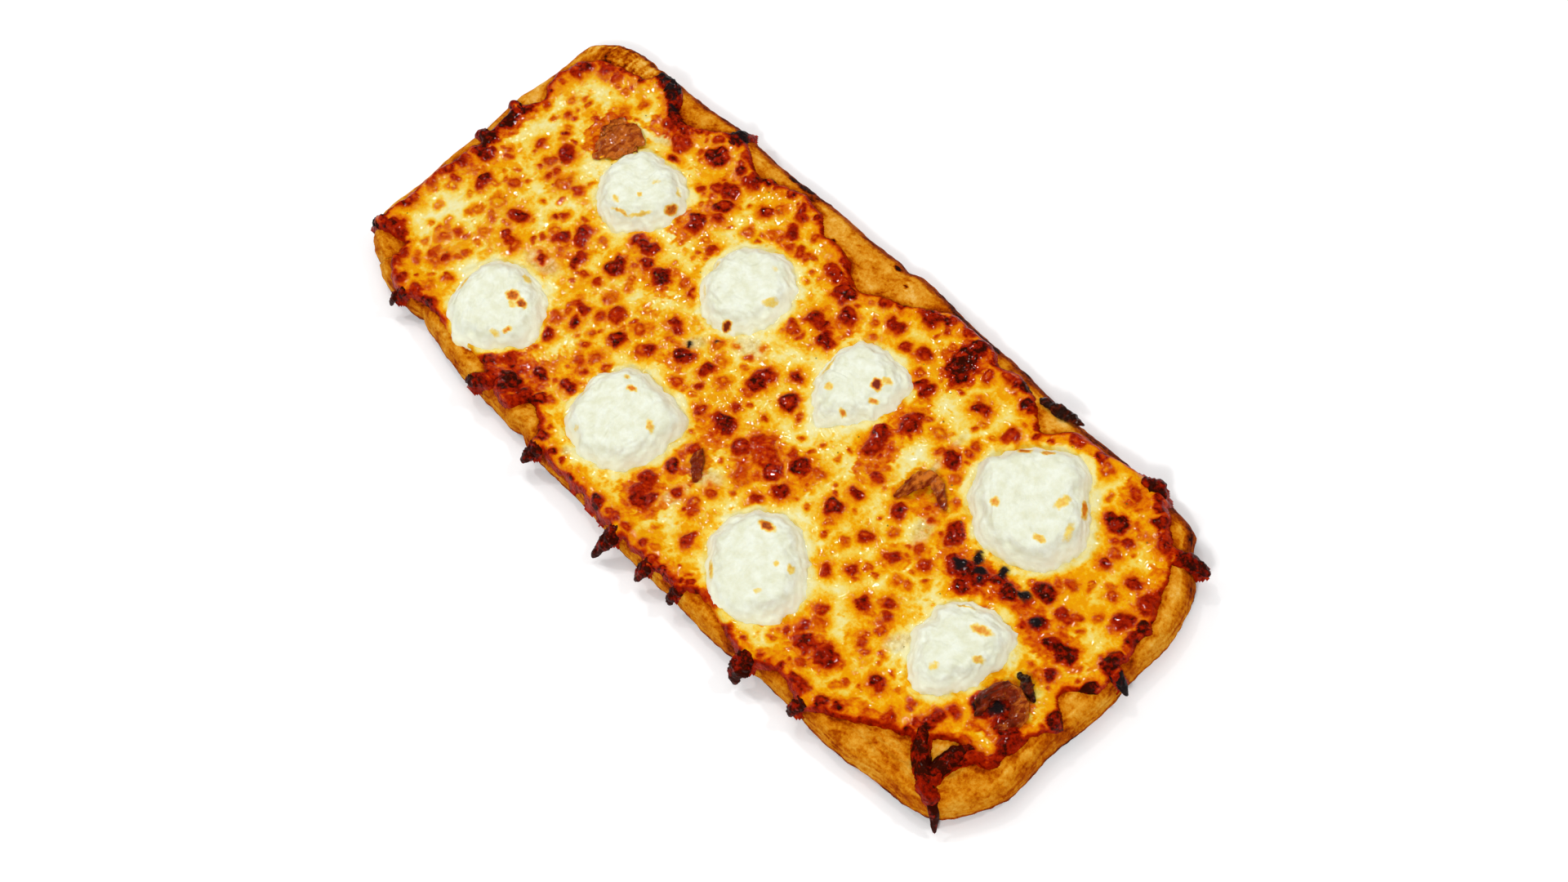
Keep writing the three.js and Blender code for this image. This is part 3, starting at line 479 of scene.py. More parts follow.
def even_line(points, steps):
    """Evenly spaced points on an open curve through the given ones, and the curve's direction at each."""
    line = spaced(smooth_line(points, 24), steps, closed=False)
    return line, unit(np.gradient(line, axis=0))


# Outlines
def belly(x, y):
    """How far the long sides bulge out."""
    reach = np.where(y > 0, BELLY_FAR, BELLY_NEAR)
    return reach * np.cos(np.pi * x / CRUST_LENGTH) ** 2


def torn_corner(x, y):
    """Where the far left corner of the crust is torn."""
    return ease(y, 44, 54) * ease(x, -112, -126)


def folded_corner(x, y):
    """Where the near right corner of the crust lies in folds."""
    return ease(y, -44, -54) * ease(x, 92, 112)


def crust_outline():
    """The crust's edge seen from above: a bellied rectangle with round corners, wobbles and torn places."""
    half_length = CRUST_LENGTH / 2 - CRUST_END_BOW
    half_width = CRUST_END_WIDTH / 2
    points = []
    for quarter, (side_x, side_y, radius) in enumerate(CORNERS):
        for angle in np.linspace(quarter * np.pi / 2, (quarter + 1) * np.pi / 2, 40):
            x = side_x * (half_length - radius) + radius * math.cos(angle)
            y = side_y * (half_width - radius) + radius * math.sin(angle)
            points.append((x, y))
    p = spaced(np.array(points), CRUST_STEPS)
    x, y = p[:, 0], p[:, 1]
    out_x, out_y = x / half_length, y / half_width
    bow = CRUST_END_BOW * np.cos(np.pi * y / CRUST_END_WIDTH) ** 2
    push = EDGE_WOBBLE * (np.sin(x / 7.3 + y / 5.1) + np.sin(x / 17 - y / 11))
    for place, side, half, depth in NICKS:
        push = push - (side * out_y > 0.6) * depth * np.exp(-(((x - place) / half) ** 2))
    ramp_x, ramp_y = ease(np.abs(out_x), 0.42, 0.58), ease(np.abs(out_y), 0.42, 0.58)
    push = push + 0.25 * bumps(x, y, 2.6, 5)
    push = push - 1.1 * torn_corner(x, y) * np.maximum(rough(x, y, 6, 6), 0)
    return np.stack([
        x + out_x * bow + np.sign(x) * ramp_x * push * (np.abs(out_x) > 0.9),
        y + out_y * belly(x, y) + np.sign(y) * ramp_y * push * (np.abs(out_y) > 0.5),
    ], 1)


def signed_distance(loop, x, y):
    """Distance to a closed line, positive inside."""
    a, b = loop, np.roll(loop, -1, 0)
    edge = b - a
    length = (edge**2).sum(1)
    rise = np.where(edge[:, 1] == 0, 1e-9, edge[:, 1])
    out = np.empty(x.size)
    for part in np.array_split(np.arange(x.size), x.size // 3000 + 1):
        dx = x.ravel()[part, None] - a[:, 0]
        dy = y.ravel()[part, None] - a[:, 1]
        t = np.clip((dx * edge[:, 0] + dy * edge[:, 1]) / length, 0, 1)
        gap = np.hypot(dx - t * edge[:, 0], dy - t * edge[:, 1]).min(1)
        crossed = ((dy < 0) != (dy < edge[:, 1])) & (dx < edge[:, 0] * dy / rise)
        out[part] = np.where(crossed.sum(1) % 2 == 1, gap, -gap)
    return out.reshape(x.shape)


class Field:
    """A signed distance kept on a grid and read between its points."""

    def __init__(self, loop):
        self.x, self.y = (np.arange(-reach, reach + FIELD_STEP, FIELD_STEP) for reach in FIELD_REACH)
        self.values = signed_distance(loop, *np.meshgrid(self.x, self.y, indexing="ij"))

    def __call__(self, x, y):
        u = np.clip((x - self.x[0]) / FIELD_STEP, 0, len(self.x) - 1.001)
        v = np.clip((y - self.y[0]) / FIELD_STEP, 0, len(self.y) - 1.001)
        i, j = u.astype(int), v.astype(int)
        fu, fv = u - i, v - j
        values = self.values
        low = values[i, j] * (1 - fu) + values[i + 1, j] * fu
        high = values[i, j + 1] * (1 - fu) + values[i + 1, j + 1] * fu
        return low * (1 - fv) + high * fv


def frayed_edge():
    """The edge of the melted sheet, with its small tongues and bays."""
    edge = smooth_loop(CHEESE_EDGE, CHEESE_EDGE_STEPS)
    x, y = edge[:, 0], edge[:, 1]
    fray = 1.1 * bumps(x, y, 3.6, 11) + 0.6 * bumps(x, y, 1.5, 12)
    return edge * (1 + fray / np.hypot(x, y))[:, None]


CRUST_EDGE = crust_outline()
crust_inset = Field(CRUST_EDGE)
cheese_inset = Field(frayed_edge())
slice_inset = Field(smooth_loop(PALE_SLICE, 160))

# The rim's section as inset and height, from the underside up the wall and in over the top
RIM = smooth_line(RIM_PROFILE, 12)
FIRST_TOP = np.argmax(RIM[:, 1] > WALL_TOP)
WALL, TOP = RIM[:FIRST_TOP], RIM[FIRST_TOP:]


def crust_height(x, y):
    """Height of the crust's upper surface, with the dough's unevenness."""
    inset = crust_inset(x, y)
    height = np.interp(inset, TOP[:, 0], TOP[:, 1])
    rim = ease(inset, 0.4, 3)
    height = height + rim * 0.5 * rough(x, y, 15, 21, 2)
    folds = ridges(inset / 3.2 + bumps(x, y, 12, 27), (x + y) / 18, 25)
    height = height + rim * (0.16 + 0.4 * folded_corner(x, y)) * folds
    return height + rim * (0.26 + 0.45 * torn_corner(x, y)) * rough(x, y, 3.2, 23, 4)


# Meshes
def design_shift():
    """From the drawing frame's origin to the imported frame's, in metres."""
    low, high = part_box("crust")
    middle = (CRUST_EDGE.max(0) + CRUST_EDGE.min(0)) / 2 * MM
    return Vector(((low.x + high.x) / 2 - middle[0], (low.y + high.y) / 2 - middle[1], 0))


SHIFT = design_shift()


def new_object(name, data):
    """An object in the scene."""
    made = bpy.data.objects.new(name, data)
    scene.collection.objects.link(made)
    return made


def as_points(x, y, z):
    """A plain list of points from three grids."""
    return np.stack([x, y, z], -1).reshape(-1, 3)


def make_mesh(name, points, quads, material, values, node):
    """A smooth mesh from points in millimetres, with named values at its points."""
    mesh = bpy.data.meshes.new(name)
    used = np.unique(quads)
    index = np.zeros(len(points), int)
    index[used] = np.arange(len(used))
    quads = index[quads]
    places = points[used] * MM + np.array(SHIFT)
    mesh.vertices.add(len(places))
    mesh.vertices.foreach_set("co", places.astype(np.float32).ravel())
    mesh.loops.add(quads.size)
    mesh.loops.foreach_set("vertex_index", quads.astype(np.int32).ravel())
    mesh.polygons.add(len(quads))
    mesh.polygons.foreach_set("loop_start", np.arange(0, quads.size, 4, dtype=np.int32))
    mesh.polygons.foreach_set("loop_total", np.full(len(quads), 4, np.int32))
    mesh.update(calc_edges=True)
    mesh.validate()
    mesh.shade_smooth()
    for key, value in values.items():
        attribute = mesh.attributes.new(key, "FLOAT", "POINT")
        attribute.data.foreach_set("value", np.asarray(value, np.float32).ravel()[used])
    mesh.materials.append(material)
    piece = new_object(name, mesh)
    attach(piece, "root")
    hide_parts(node)


def grid_quads(rows, columns, wrap=False):
    """Quads of a grid of rows by columns of points; wrap joins the last row to the first."""
    last = rows if wrap else rows - 1
    i, j = np.meshgrid(np.arange(last), np.arange(columns - 1), indexing="ij")
    i, j = i.ravel(), j.ravel()
    n = (i + 1) % rows
    return np.stack([i * columns + j, n * columns + j, n * columns + j + 1, i * columns + j + 1], 1)


# Materials
def linear(red, green, blue):
    """An sRGB colour out of 255 as linear light."""
    levels = [((c / 255 + 0.055) / 1.055) ** 2.4 if c > 10 else c / 255 / 12.92 for c in (red, green, blue)]
    return levels + [1.0]


def grey(level):
    """A grey of so much linear light."""
    return [level, level, level, 1.0]


class Material:
    """A short way to lay out nodes."""

    def __init__(self, name):
        self.material = bpy.data.materials.new(name)
        self.material.use_nodes = True
        self.tree = self.material.node_tree
        self.tree.nodes.clear()
        self.shader = self.node("ShaderNodeBsdfPrincipled")
        self.node("ShaderNodeOutputMaterial", {0: self.shader.outputs[0]})
        self.place = self.node("ShaderNodeTexCoord").outputs["Object"]

    def feed(self, socket, value):
        """Links a socket to another node's, or sets its own value."""
        if isinstance(value, bpy.types.NodeSocket):
            self.tree.links.new(value, socket)
        else:
            socket.default_value = value

    def node(self, kind, feeds=None, **settings):
        """A node with its settings, and what feeds its sockets, by name or number."""
        made = self.tree.nodes.new(kind)
        for key, value in settings.items():
            setattr(made, key, value)
        for key, value in (feeds or {}).items():
            self.feed(made.inputs[key], value)
        return made

    def shade(self, feeds):
        """Feeds the shader's own sockets."""
        for key, value in feeds.items():
            self.feed(self.shader.inputs[key], value)

    def value(self, name):
        """A value kept at the mesh's points."""
        return self.node("ShaderNodeAttribute", attribute_name=name).outputs["Fac"]

    def noise(self, size_mm, detail=3.0, roughness=0.55, distortion=0.0, stretch=None):
        place = self.place
        if stretch:
            place = self.node("ShaderNodeMapping", {"Scale": stretch, "Vector": place}).outputs[0]
        feeds = {
            "Scale": 1 / (size_mm * MM), "Detail": detail, "Roughness": roughness, "Distortion": distortion,
            "Vector": place,
        }
        return self.node("ShaderNodeTexNoise", feeds).outputs["Fac"]

    def cells(self, size_mm, smoothness):
        feeds = {"Scale": 1 / (size_mm * MM), "Smoothness": smoothness, "Vector": self.place}
        return self.node("ShaderNodeTexVoronoi", feeds, feature="SMOOTH_F1").outputs["Distance"]

    def math(self, operation, a, b, clamp=False):
        return self.node("ShaderNodeMath", {0: a, 1: b}, operation=operation, use_clamp=clamp).outputs[0]

    def spread(self, value, low, high, to_low=0.0, to_high=1.0):
        """The value stretched from one range to another."""
        feeds = {"Value": value, "From Min": low, "From Max": high, "To Min": to_low, "To Max": to_high}
        return self.node("ShaderNodeMapRange", feeds).outputs[0]

    def vary(self, value, grain, low, high, reach, clamp=False):
        """The value moved up or down by a noise, by so much at most."""
        return self.math("ADD", value, self.spread(grain, low, high, -reach, reach), clamp)

    def ramp(self, value, stops):
        made = self.node("ShaderNodeValToRGB", {"Fac": value})
        elements = made.color_ramp.elements
        while len(elements) < len(stops):
            elements.new(0.5)
        for element, (position, colour) in zip(elements, stops):
            element.position = position
            element.color = colour
        return made.outputs["Color"]

    def mix(self, share, a, b):
        """Colour b over colour a; each is another node's, or plain sRGB."""
        a, b = (linear(*colour) if isinstance(colour, tuple) else colour for colour in (a, b))
        return self.node("ShaderNodeMix", {0: share, 6: a, 7: b}, data_type="RGBA").outputs[2]

    def bump(self, height, depth_mm, strength, under=None):
        """Relief, over the relief of another bump if there is one."""
        feeds = {"Distance": depth_mm * MM, "Strength": strength, "Height": height}
        if under:
            feeds["Normal"] = under
        return self.node("ShaderNodeBump", feeds).outputs[0]

    def wet_coat(self, weight, wave_mm):
        """A smooth wet layer over the rough one."""
        self.shade({
            "Coat Weight": weight,
            "Coat Normal": self.bump(self.noise(wave_mm, 1, 0.5), 0.4, 0.8),
            "Coat Roughness": COAT_ROUGHNESS,
            "Coat IOR": COAT_IOR,
        })


def cheese_material():
    """Pale to golden to burnt by how far it has cooked, with onion, char and herbs, under a wet coat."""
    m = Material("melted_cheese")
    field = m.vary(m.value("field"), m.noise(1.6, 4, 0.6), 0.25, 0.75, 0.15)
    field = m.math("MINIMUM", m.math("MAXIMUM", field, 0.0), 0.48)
    dark = m.vary(m.value("dark"), m.noise(1.2, 4, 0.65), 0.25, 0.75, 0.1)
    cook = m.math("MAXIMUM", field, dark)
    colour = m.ramp(cook, [(at, linear(*level)) for at, level in CHEESE_COLOURS])
    veil = m.mix(m.spread(m.noise(1.8, 4, 0.6), 0.35, 0.65), *VEIL_COLOURS)
    colour = m.mix(m.value("onion"), colour, veil)
    colour = m.mix(m.value("char"), colour, CHAR_COLOUR)
    herb = m.math("MULTIPLY", m.spread(m.cells(7.0, 0.0), 0.055, 0.035), 0.8)
    shine = m.spread(m.noise(2.6, 2, 0.5), 0.4, 0.6, 0.16, 0.4)
    blisters = m.math("MULTIPLY", m.cells(1.4, 0.4), m.spread(cook, 0.5, 0.85))
    m.shade({
        "Base Color": m.mix(herb, colour, HERB_COLOUR),
        "Roughness": m.math("ADD", shine, m.spread(cook, 0.86, 0.96, 0.0, 0.25)),
        "Normal": m.bump(m.noise(0.8, 4, 0.65), 0.22, 0.7, m.bump(blisters, 0.5, 0.8)),
        "IOR": 1.25,
        "Specular IOR Level": 0.25,
        "Specular Tint": WARM_TINT,
    })
    m.wet_coat(m.math("MULTIPLY", m.spread(cook, 0.85, 1.0, 0.62, 0.3), m.value("gloss")), 3.0)
    return m.material


def crust_material():
    """Dry dough, pale to burnt by how far it has baked, with painted shade along the cheese's edge."""
    m = Material("baked_crust")
    fine = m.noise(1.2, 5, 0.65)
    bake_and_shade = m.vary(m.value("bake_and_shade"), m.noise(5.5, 5, 0.62), 0.36, 0.64, 0.09)
    bake_and_shade = m.vary(bake_and_shade, fine, 0.36, 0.64, 0.11, clamp=True)
    m.shade({
        "Base Color": m.ramp(bake_and_shade, [(at, linear(*level)) for at, level in CRUST_COLOURS]),
        "Roughness": m.spread(fine, 0.3, 0.7, 0.62, 0.85),
        "Normal": m.bump(m.noise(0.55, 3, 0.6), 0.16, 0.7, m.bump(m.noise(2.2, 5, 0.62), 0.7, 0.9)),
        "IOR": 1.3,
        "Specular IOR Level": 0.1,
        "Specular Tint": WARM_TINT,
    })
    return m.material


def ricotta_material():
    """White curd with a yellow foot, toasted marks and painted light on its steep sides."""
    m = Material("ricotta")
    toast = m.vary(m.value("toast"), m.noise(1.1, 4, 0.6), 0.25, 0.75, 0.14)
    toast = m.math("MULTIPLY", toast, m.spread(m.value("toast"), 0.02, 0.12))
    colour = m.mix(m.spread(m.noise(4.0, 4, 0.6), 0.35, 0.65), *CURD_COLOURS)
    # Painted light: the steep sides are paler, to lift the shade that falls on them
    colour = m.mix(m.value("side"), colour, CURD_SIDE_PAINTED_LIGHT)
    colour = m.mix(m.value("foot"), colour, CURD_FOOT_COLOUR)
    for low, high, toasted in TOAST_COLOURS:
        colour = m.mix(m.spread(toast, low, high), colour, toasted)
    m.shade({
        "Base Color": colour,
        "Roughness": 0.42,
        "Normal": m.bump(m.noise(0.5, 3, 0.6), 0.12, 0.6, m.bump(m.noise(2.2, 4, 0.6), 0.5, 0.5)),
        "Specular IOR Level": 0.3,
        "Subsurface Weight": 0.15,
        "Subsurface Radius": (1.0, 0.9, 0.7),
        "Subsurface Scale": 1.2 * MM,
    })
    return m.material


def onion_material():
    """Streaky caramel that burns to nearly black, under a wet coat."""
    m = Material("caramelised_onion")
    streak = m.noise(2.2, 5, 0.65, 0.6, (1, 0.4, 1))
    fine = m.noise(0.8, 4, 0.6)
    char = m.vary(m.value("char"), streak, 0.35, 0.65, 0.2)
    colour = m.mix(m.spread(streak, 0.4, 0.6), *ONION_COLOURS)
    for low, high, burnt in ONION_BURNS:
        colour = m.mix(m.spread(char, low, high), colour, burnt)
    m.shade({
        "Base Color": colour,
        "Roughness": m.spread(fine, 0.3, 0.7, 0.3, 0.5),
        "Normal": m.bump(fine, 0.3, 0.7, m.bump(streak, 0.8, 0.8)),
        "Specular IOR Level": 0.2,
        "Specular Tint": ONION_TINT,
    })
    m.wet_coat(0.6, 2.4)
    return m.material


# Crust
def inward(edge, inset):
    """Points at each inset from each point of the edge, on the way to the crust's middle line."""
    far_x, far_y = CRUST_LENGTH / 2 - MIDDLE_START[0], CRUST_END_WIDTH / 2 - MIDDLE_START[1]
    goal = np.stack([np.clip(edge[:, 0], -far_x, far_x), np.clip(edge[:, 1], -far_y, far_y)], 1)
    return edge[:, None, :] + unit(goal - edge)[:, None, :] * inset[None, :, None]


def crust_piece(material):
    """Rings from the middle of the underside out, up the wall and in over the top to the middle again."""
    brim = TOP[0, 0] + np.linspace(0, 1, 5, endpoint=False) ** 1.5 * BRIM_WIDTH
    over = np.arange(TOP[0, 0] + BRIM_WIDTH, TOP_REACH, TOP_STEP)
    inset = np.concatenate([UNDER_INSETS, WALL[:, 0], brim, over, MIDDLE_INSETS])
    sides = slice(len(UNDER_INSETS), len(UNDER_INSETS) + len(WALL))
    tops = slice(sides.stop, None)
    flat = inward(CRUST_EDGE, np.minimum(inset, CLOSING_INSET))
    flat[:, inset > CLOSING_INSET, 1] = 0.0
    x, y = flat[..., 0], flat[..., 1]
    z = np.zeros(x.shape)
    z[:, sides] = WALL[:, 1]
    z[:, tops] = crust_height(x[:, tops], y[:, tops])
    wall_x, wall_y, wall_z = x[:, sides], y[:, sides], z[:, sides]
    lift = ease(wall_z, 0.3, 2.5)
    layer = lift * 0.4 * fractal(wall_x / 9 + 3, wall_y / 9 + wall_z / 2.2, 31, 3)
    layer = layer - lift * 0.35 * baked_layers(wall_x, wall_y, wall_z / 1.9)
    way = unit(flat[:, 0] - flat[:, tops.start])
    x[:, sides] += layer * way[:, None, 0]
    y[:, sides] += layer * way[:, None, 1]
    quads = grid_quads(CRUST_STEPS, len(inset), wrap=True)
    bake_and_shade = {"bake_and_shade": crust_bake_and_shade(x, y, z)}
    make_mesh("crust_loaf", as_points(x, y, z), quads, material, bake_and_shade, "crust")


def baked_layers(x, y, level):
    """Crests of the layers that run round the wall, one for each step of level."""
    return ridges((x + y) / 20, level + bumps(x, y, 12, 33), 35)


def crust_bake_and_shade(x, y, z):
    """How dark the dough has baked, with painted shade along the cheese's edge."""
    inset = crust_inset(x, y)
    bake_and_shade = 0.35 + 0.32 * rough(x, y, 16, 41) + 0.16 * rough(x, y, 4.5, 47, 4)
    bake_and_shade = bake_and_shade + 0.36 * ease(z, 6.4, 4.2) + 0.3 * ease(z, 2.6, 1.2)
    bake_and_shade = bake_and_shade + (0.1 + 0.36 * ease(y, 30, 56)) * ease(inset, 4.5, 1.2) * ease(z, 5, 8)
    layers = baked_layers(x, y, z / 1.9 + inset / 2.6)
    bake_and_shade = bake_and_shade - 0.13 * ease(layers, 0.2, -0.6) + 0.16 * ease(layers, 0.8, 0.97) * ease(z, 1, 3)
    torn = torn_corner(x, y)
    streaks = (0.05 + 0.3 * torn + 0.1 * folded_corner(x, y)) * fractal(x / 11, inset / 1.4, 43, 3)
    bake_and_shade = bake_and_shade + streaks * ease(z, 3, 6)
    bake_and_shade = bake_and_shade + torn * ease(z, 6, 9.5) * (0.1 + 0.6 * fractal(x / 1.2, y / 7, 49, 3))
    # Painted shade: the crust's top is darkened along the cheese's edge
    cheese_edge_shade = ease(cheese_inset(x, y), -2.5, -0.5)
    bake_and_shade = bake_and_shade + 0.2 * cheese_edge_shade * (z > 8)
    for bx, by, size in BURNS:
        bake_and_shade = bake_and_shade + 0.75 * ease(np.hypot(x - bx, (y - by) * 1.6), size * 1.3, size * 0.5)
    under = 0.62 + 0.2 * rough(x, y, 6, 45, 4)
    return np.clip(np.where(z < 0.05, under, bake_and_shade), 0, 1)


# Cheese
def spot_radius(x, y, spot):
    """Distance from a spot's middle as a share of its size."""
    bx, by, half_length, half_width, turn = spot[:5]
    along, across = turned(x - bx, y - by, math.radians(turn))
    return np.hypot(along / half_length, across / half_width)


def strewn_bubbles():
    """Small browned bubbles strewn between the named spots: centre, radius and how dark."""
    rng = np.random.default_rng(7)
    found = []
    while len(found) < STREWN_COUNT:
        x, y = (rng.uniform(*reach) for reach in STREWN_REACH)
        size = rng.choice(STREWN_SIZES, p=STREWN_SHARES)
        place = np.array([x]), np.array([y])
        on_dollop = any(math.hypot(x - d[0], y - d[1]) < max(d[2]) + 0.5 for d in DOLLOPS)
        crowded = any(math.hypot(x - b[0], y - b[1]) < b[2] + size + 0.5 for b in found)
        covered = any(math.hypot(x - b[0], y - b[1]) < b[2] + size * 0.3 for b in SPOTS)
        if float(cheese_inset(*place)[0]) < 3 or on_dollop or crowded or covered:
            continue
        level = rng.uniform(0.56, 0.84) - 0.14 * (float(slice_inset(*place)[0]) > 0)
        found.append((x, y, size, level))
    return found


def spot_bubbles():
    """The named spots as clusters of round bubbles: centre, radius and how dark."""
    rng = np.random.default_rng(8)
    found = []
    for x, y, long, wide, turn, level in SPOTS:
        angle = math.radians(turn)
        long, wide = 1.12 * long, 1.12 * wide
        for step in range(1 + round(long * wide / 2.6)):
            radius = min(wide, 3.6) * rng.uniform(0.52, 0.84)
            share, way = rng.uniform(0, 1) ** 0.5 * (step > 0), rng.uniform(0, 2 * math.pi)
            along, across = (long - radius) * share * math.cos(way), (wide - radius) * share * math.sin(way)
            place_x = x + along * math.cos(angle) - across * math.sin(angle)
            place_y = y + along * math.sin(angle) + across * math.cos(angle)
            found.append((place_x, place_y, radius, level + rng.uniform(-0.1, 0.06)))
    return found


def edge_bubbles():
    """Dark bubbles along the cooked edge of the sheet: centre, radius and how dark."""
    rng = np.random.default_rng(9)
    edge = smooth_loop(CHEESE_EDGE, 300)
    ahead = unit(np.roll(edge, -1, 0) - edge)
    ends = 0.25 * (edge[:, 0] < -136) - 0.2 * (edge[:, 0] > RIGHT_END)
    lumpy = 0.5 + 0.6 * rough(edge[:, 0], edge[:, 1], 14, 95, 2) + ends
    found = []
    for (x, y), (ahead_x, ahead_y), chance in zip(edge, ahead, lumpy):
        if rng.random() > chance:
            continue
        radius, inset = rng.uniform(0.9, 2.4), rng.uniform(0.6, 4.0) * (0.55 if x > RIGHT_END else 1)
        found.append((x - ahead_y * inset, y + ahead_x * inset, radius, rng.uniform(0.76, 0.97)))
    return found


def golden(x, y, near, warp_x, warp_y):
    """How golden the cheese is, before its spots."""
    field = 0.25 + 0.48 * rough(x, y, 13, 71) + 0.18 * rough(x, y, 4.4, 73)
    for px, py, long, wide, change in TONES:
        field = field + change * ease(np.hypot((x - px) / long, (y - py) / wide), 1.25, 0.55)
    field = np.maximum(field, 0.0) + 0.2 * ease(near, 11, 4)
    in_slice = slice_inset(x, y)
    rim = ease(np.abs(in_slice + 0.5), 1.2, 0.3) * ease(rough(x, y, 7, 77, 2), -0.5, 0.1)
    field = field - 0.6 * ease(in_slice, 0, 2.5) * (field - 0.12)
    field = field + 0.3 * rim * (x > -146)
    field = field + 0.36 * ease(np.abs(in_slice + 1.6), 2.2, 0.7) * ease(x, -144, -136)
    fleck, chance = cells(warp_x / 3.4, warp_y / 3.4, 79)
    return np.minimum(field + 0.26 * ease(fleck, 0.3, 0.08) * ease(chance, 0.35, 0.8), 0.5)


def browning(x, y, inset):
    """How golden the cheese is, how far it has browned (with painted highlights in some bubbles' centres),
    how far it rises and where it is charred.
    """
    warp_x = x + 1.3 * bumps(x, y, 5, 61) + 0.5 * bumps(x, y, 2.2, 62)
    warp_y = y + 1.3 * bumps(x, y, 5, 63) + 0.5 * bumps(x, y, 2.2, 64)
    mottle = bumps(x, y, 1.8, 91) + 0.5 * bumps(x, y, 0.9, 92)
    near = inset / (1 + np.maximum(1.1 * rough(x, y, 7, 75), -0.7))
    left_end = 0.4 * ease(x, -136, -144) * ease(y, -12, 0)
    near = near * (1 + 0.65 * ease(x, 128, 136) - 0.2 * ease(y, -46, -54) - left_end)
    field = golden(x, y, near, warp_x, warp_y)
    dark = (0.52 + 0.36 * ease(near, 1.9, 0.6)) * ease(near, 5.6, 3.2)
    rise = 0.2 * ease(near, 4.0, 1.2)
    patchy = rough(x, y, 5, 97, 4) + 0.25 * mottle
    for zone in ZONES:
        r = spot_radius(warp_x, warp_y, zone)
        dark = np.maximum(dark, (zone[5] + 0.3 * patchy) * ease(r + 0.6 * patchy, 1.25, 0.95))
    for bx, by, radius, level in spot_bubbles() + strewn_bubbles() + edge_bubbles():
        i0, i1 = np.searchsorted(x[:, 0], (bx - radius - BUBBLE_MARGIN, bx + radius + BUBBLE_MARGIN))
        j0, j1 = np.searchsorted(y[0], (by - radius - BUBBLE_MARGIN, by + radius + BUBBLE_MARGIN))
        window = (slice(i0, i1), slice(j0, j1))
        r = np.hypot(warp_x[window] - bx, warp_y[window] - by)
        gap = r - radius + 0.3 * mottle[window]
        outside = np.maximum(gap, 0)
        fall = 0.075 + 0.12 * ease(radius, 1.6, 0.5)
        body = 0.59 + 0.09 * np.exp(-outside / 0.75) + (level - 0.62) * ease(gap, 0.35, -0.35)
        # The last term lightens some bubbles' centres: partly a less browned colour, partly a painted
        # highlight of the glossy dome
        body = body - fall * outside - (level * 50 % 1) * 0.28 * ease(r / radius, 0.8, 0.15)
        dark[window] = np.maximum(dark[window], body)
        rise[window] = np.maximum(rise[window], 0.56 * radius**0.8 * dome(r / radius))
    dark = dark + 0.09 * mottle * ease(dark, 0.52, 0.72)
    char = np.zeros_like(x)
    for bx, by, size in CHARS:
        r = np.hypot(warp_x - bx, warp_y - by) / size
        char = np.maximum(char, ease(r + 0.25 * mottle, 1.2, 0.7))
        rise = np.maximum(rise, 1.2 * dome(r))
    return field, dark, rise, char


def runs_inset(x, y):
    """Distance inside the runs of cheese where they lie on the crust; negative outside."""
    inside = np.full(x.shape, -9.0)
    for half, _, path in DRIPS:
        line, _ = even_line(path, 26)
        lying = line[line[:, 2] > LIES_ABOVE]
        for step, (px, py, _) in enumerate(lying):
            width = half * (1.15 - 0.3 * step / len(line))
            inside = np.maximum(inside, width - np.hypot(x - px, y - py))
    return inside


def onion_veils(x, y, dark):
    """How much pale onion shows through the cheese, where it hasn't browned."""
    onion = np.zeros_like(x)
    for veil in ONION_VEILS:
        onion = np.maximum(onion, 0.6 * ease(spot_radius(x, y, veil), 1.3, 0.5))
    return onion * ease(dark, 0.6, 0.4)


def cheese_piece(material):
    """The melted sheet over the crust, as a height for each point of a grid."""
    xs, ys = (np.arange(low, high, CHEESE_GRID) for low, high in CHEESE_REACH)
    x, y = np.meshgrid(xs, ys, indexing="ij")
    sheet, runs = cheese_inset(x, y), runs_inset(x, y)
    inset = np.maximum(sheet, runs + 0.35 * bumps(x, y, 2.2, 86))
    field, dark, rise, char = browning(x, y, inset)
    dark = np.maximum(dark, 0.93 * ease(sheet, 1.5, -1.0) * ease(runs, -0.5, 0.3))
    gap = np.min([dollop_distance(x, y, *d[:3]) for d in DOLLOPS], axis=0)
    skirt = ease(gap + 2.2 * rough(x, y, 6, 85), 2.4, 0.2) * ease(rough(x, y, 10, 88, 2), -0.3, 0.3)
    field = field * (1 - 0.7 * skirt)
    dark = dark * (1 - 0.7 * skirt)
    onion = onion_veils(x, y, dark)

    cover = np.clip(inset / (2.4 + 1.2 * rough(x, y, 4, 82)), 0, 1)
    full, lip = CHEESE_THICKNESS * np.sqrt(1 - (1 - cover) ** 2), 0.9 * np.maximum(inset, -1.4)
    thick = np.where(inset > 0, full, lip)
    thick = thick + ease(inset, 1, 6) * 0.45 * rough(x, y, 14, 51, 2)
    thick = thick + ease(inset, 0, 3) * 0.55 * ease(slice_inset(x, y), -0.3, 0.9)
    lumpy = ease(dark, 0.5, 0.82) * 0.3 * (1 - cells(x / 1.9, y / 1.9, 87)[0])
    melted = 0.3 * rough(x, y, 3.4, 83) + 0.5 * skirt
    shreds = 0.3 * onion * ridges(x / 2.5, y / 2.5, 89, 3)
    thick = thick + ease(inset, 0, 2.5) * (rise + lumpy + melted + shreds)
    z = crust_height(x, y) + thick
    quads = grid_quads(len(xs), len(ys))
    quads = quads[(inset > CHEESE_TRIM).ravel()[quads].all(1)]
    gloss = 1 - 0.96 * ease(inset, 4.5, 1.5)
    values = {"field": field, "dark": dark, "onion": onion, "char": char, "gloss": gloss}
    make_mesh("cheese_melt", as_points(x, y, z), quads, material, values, "cheese")


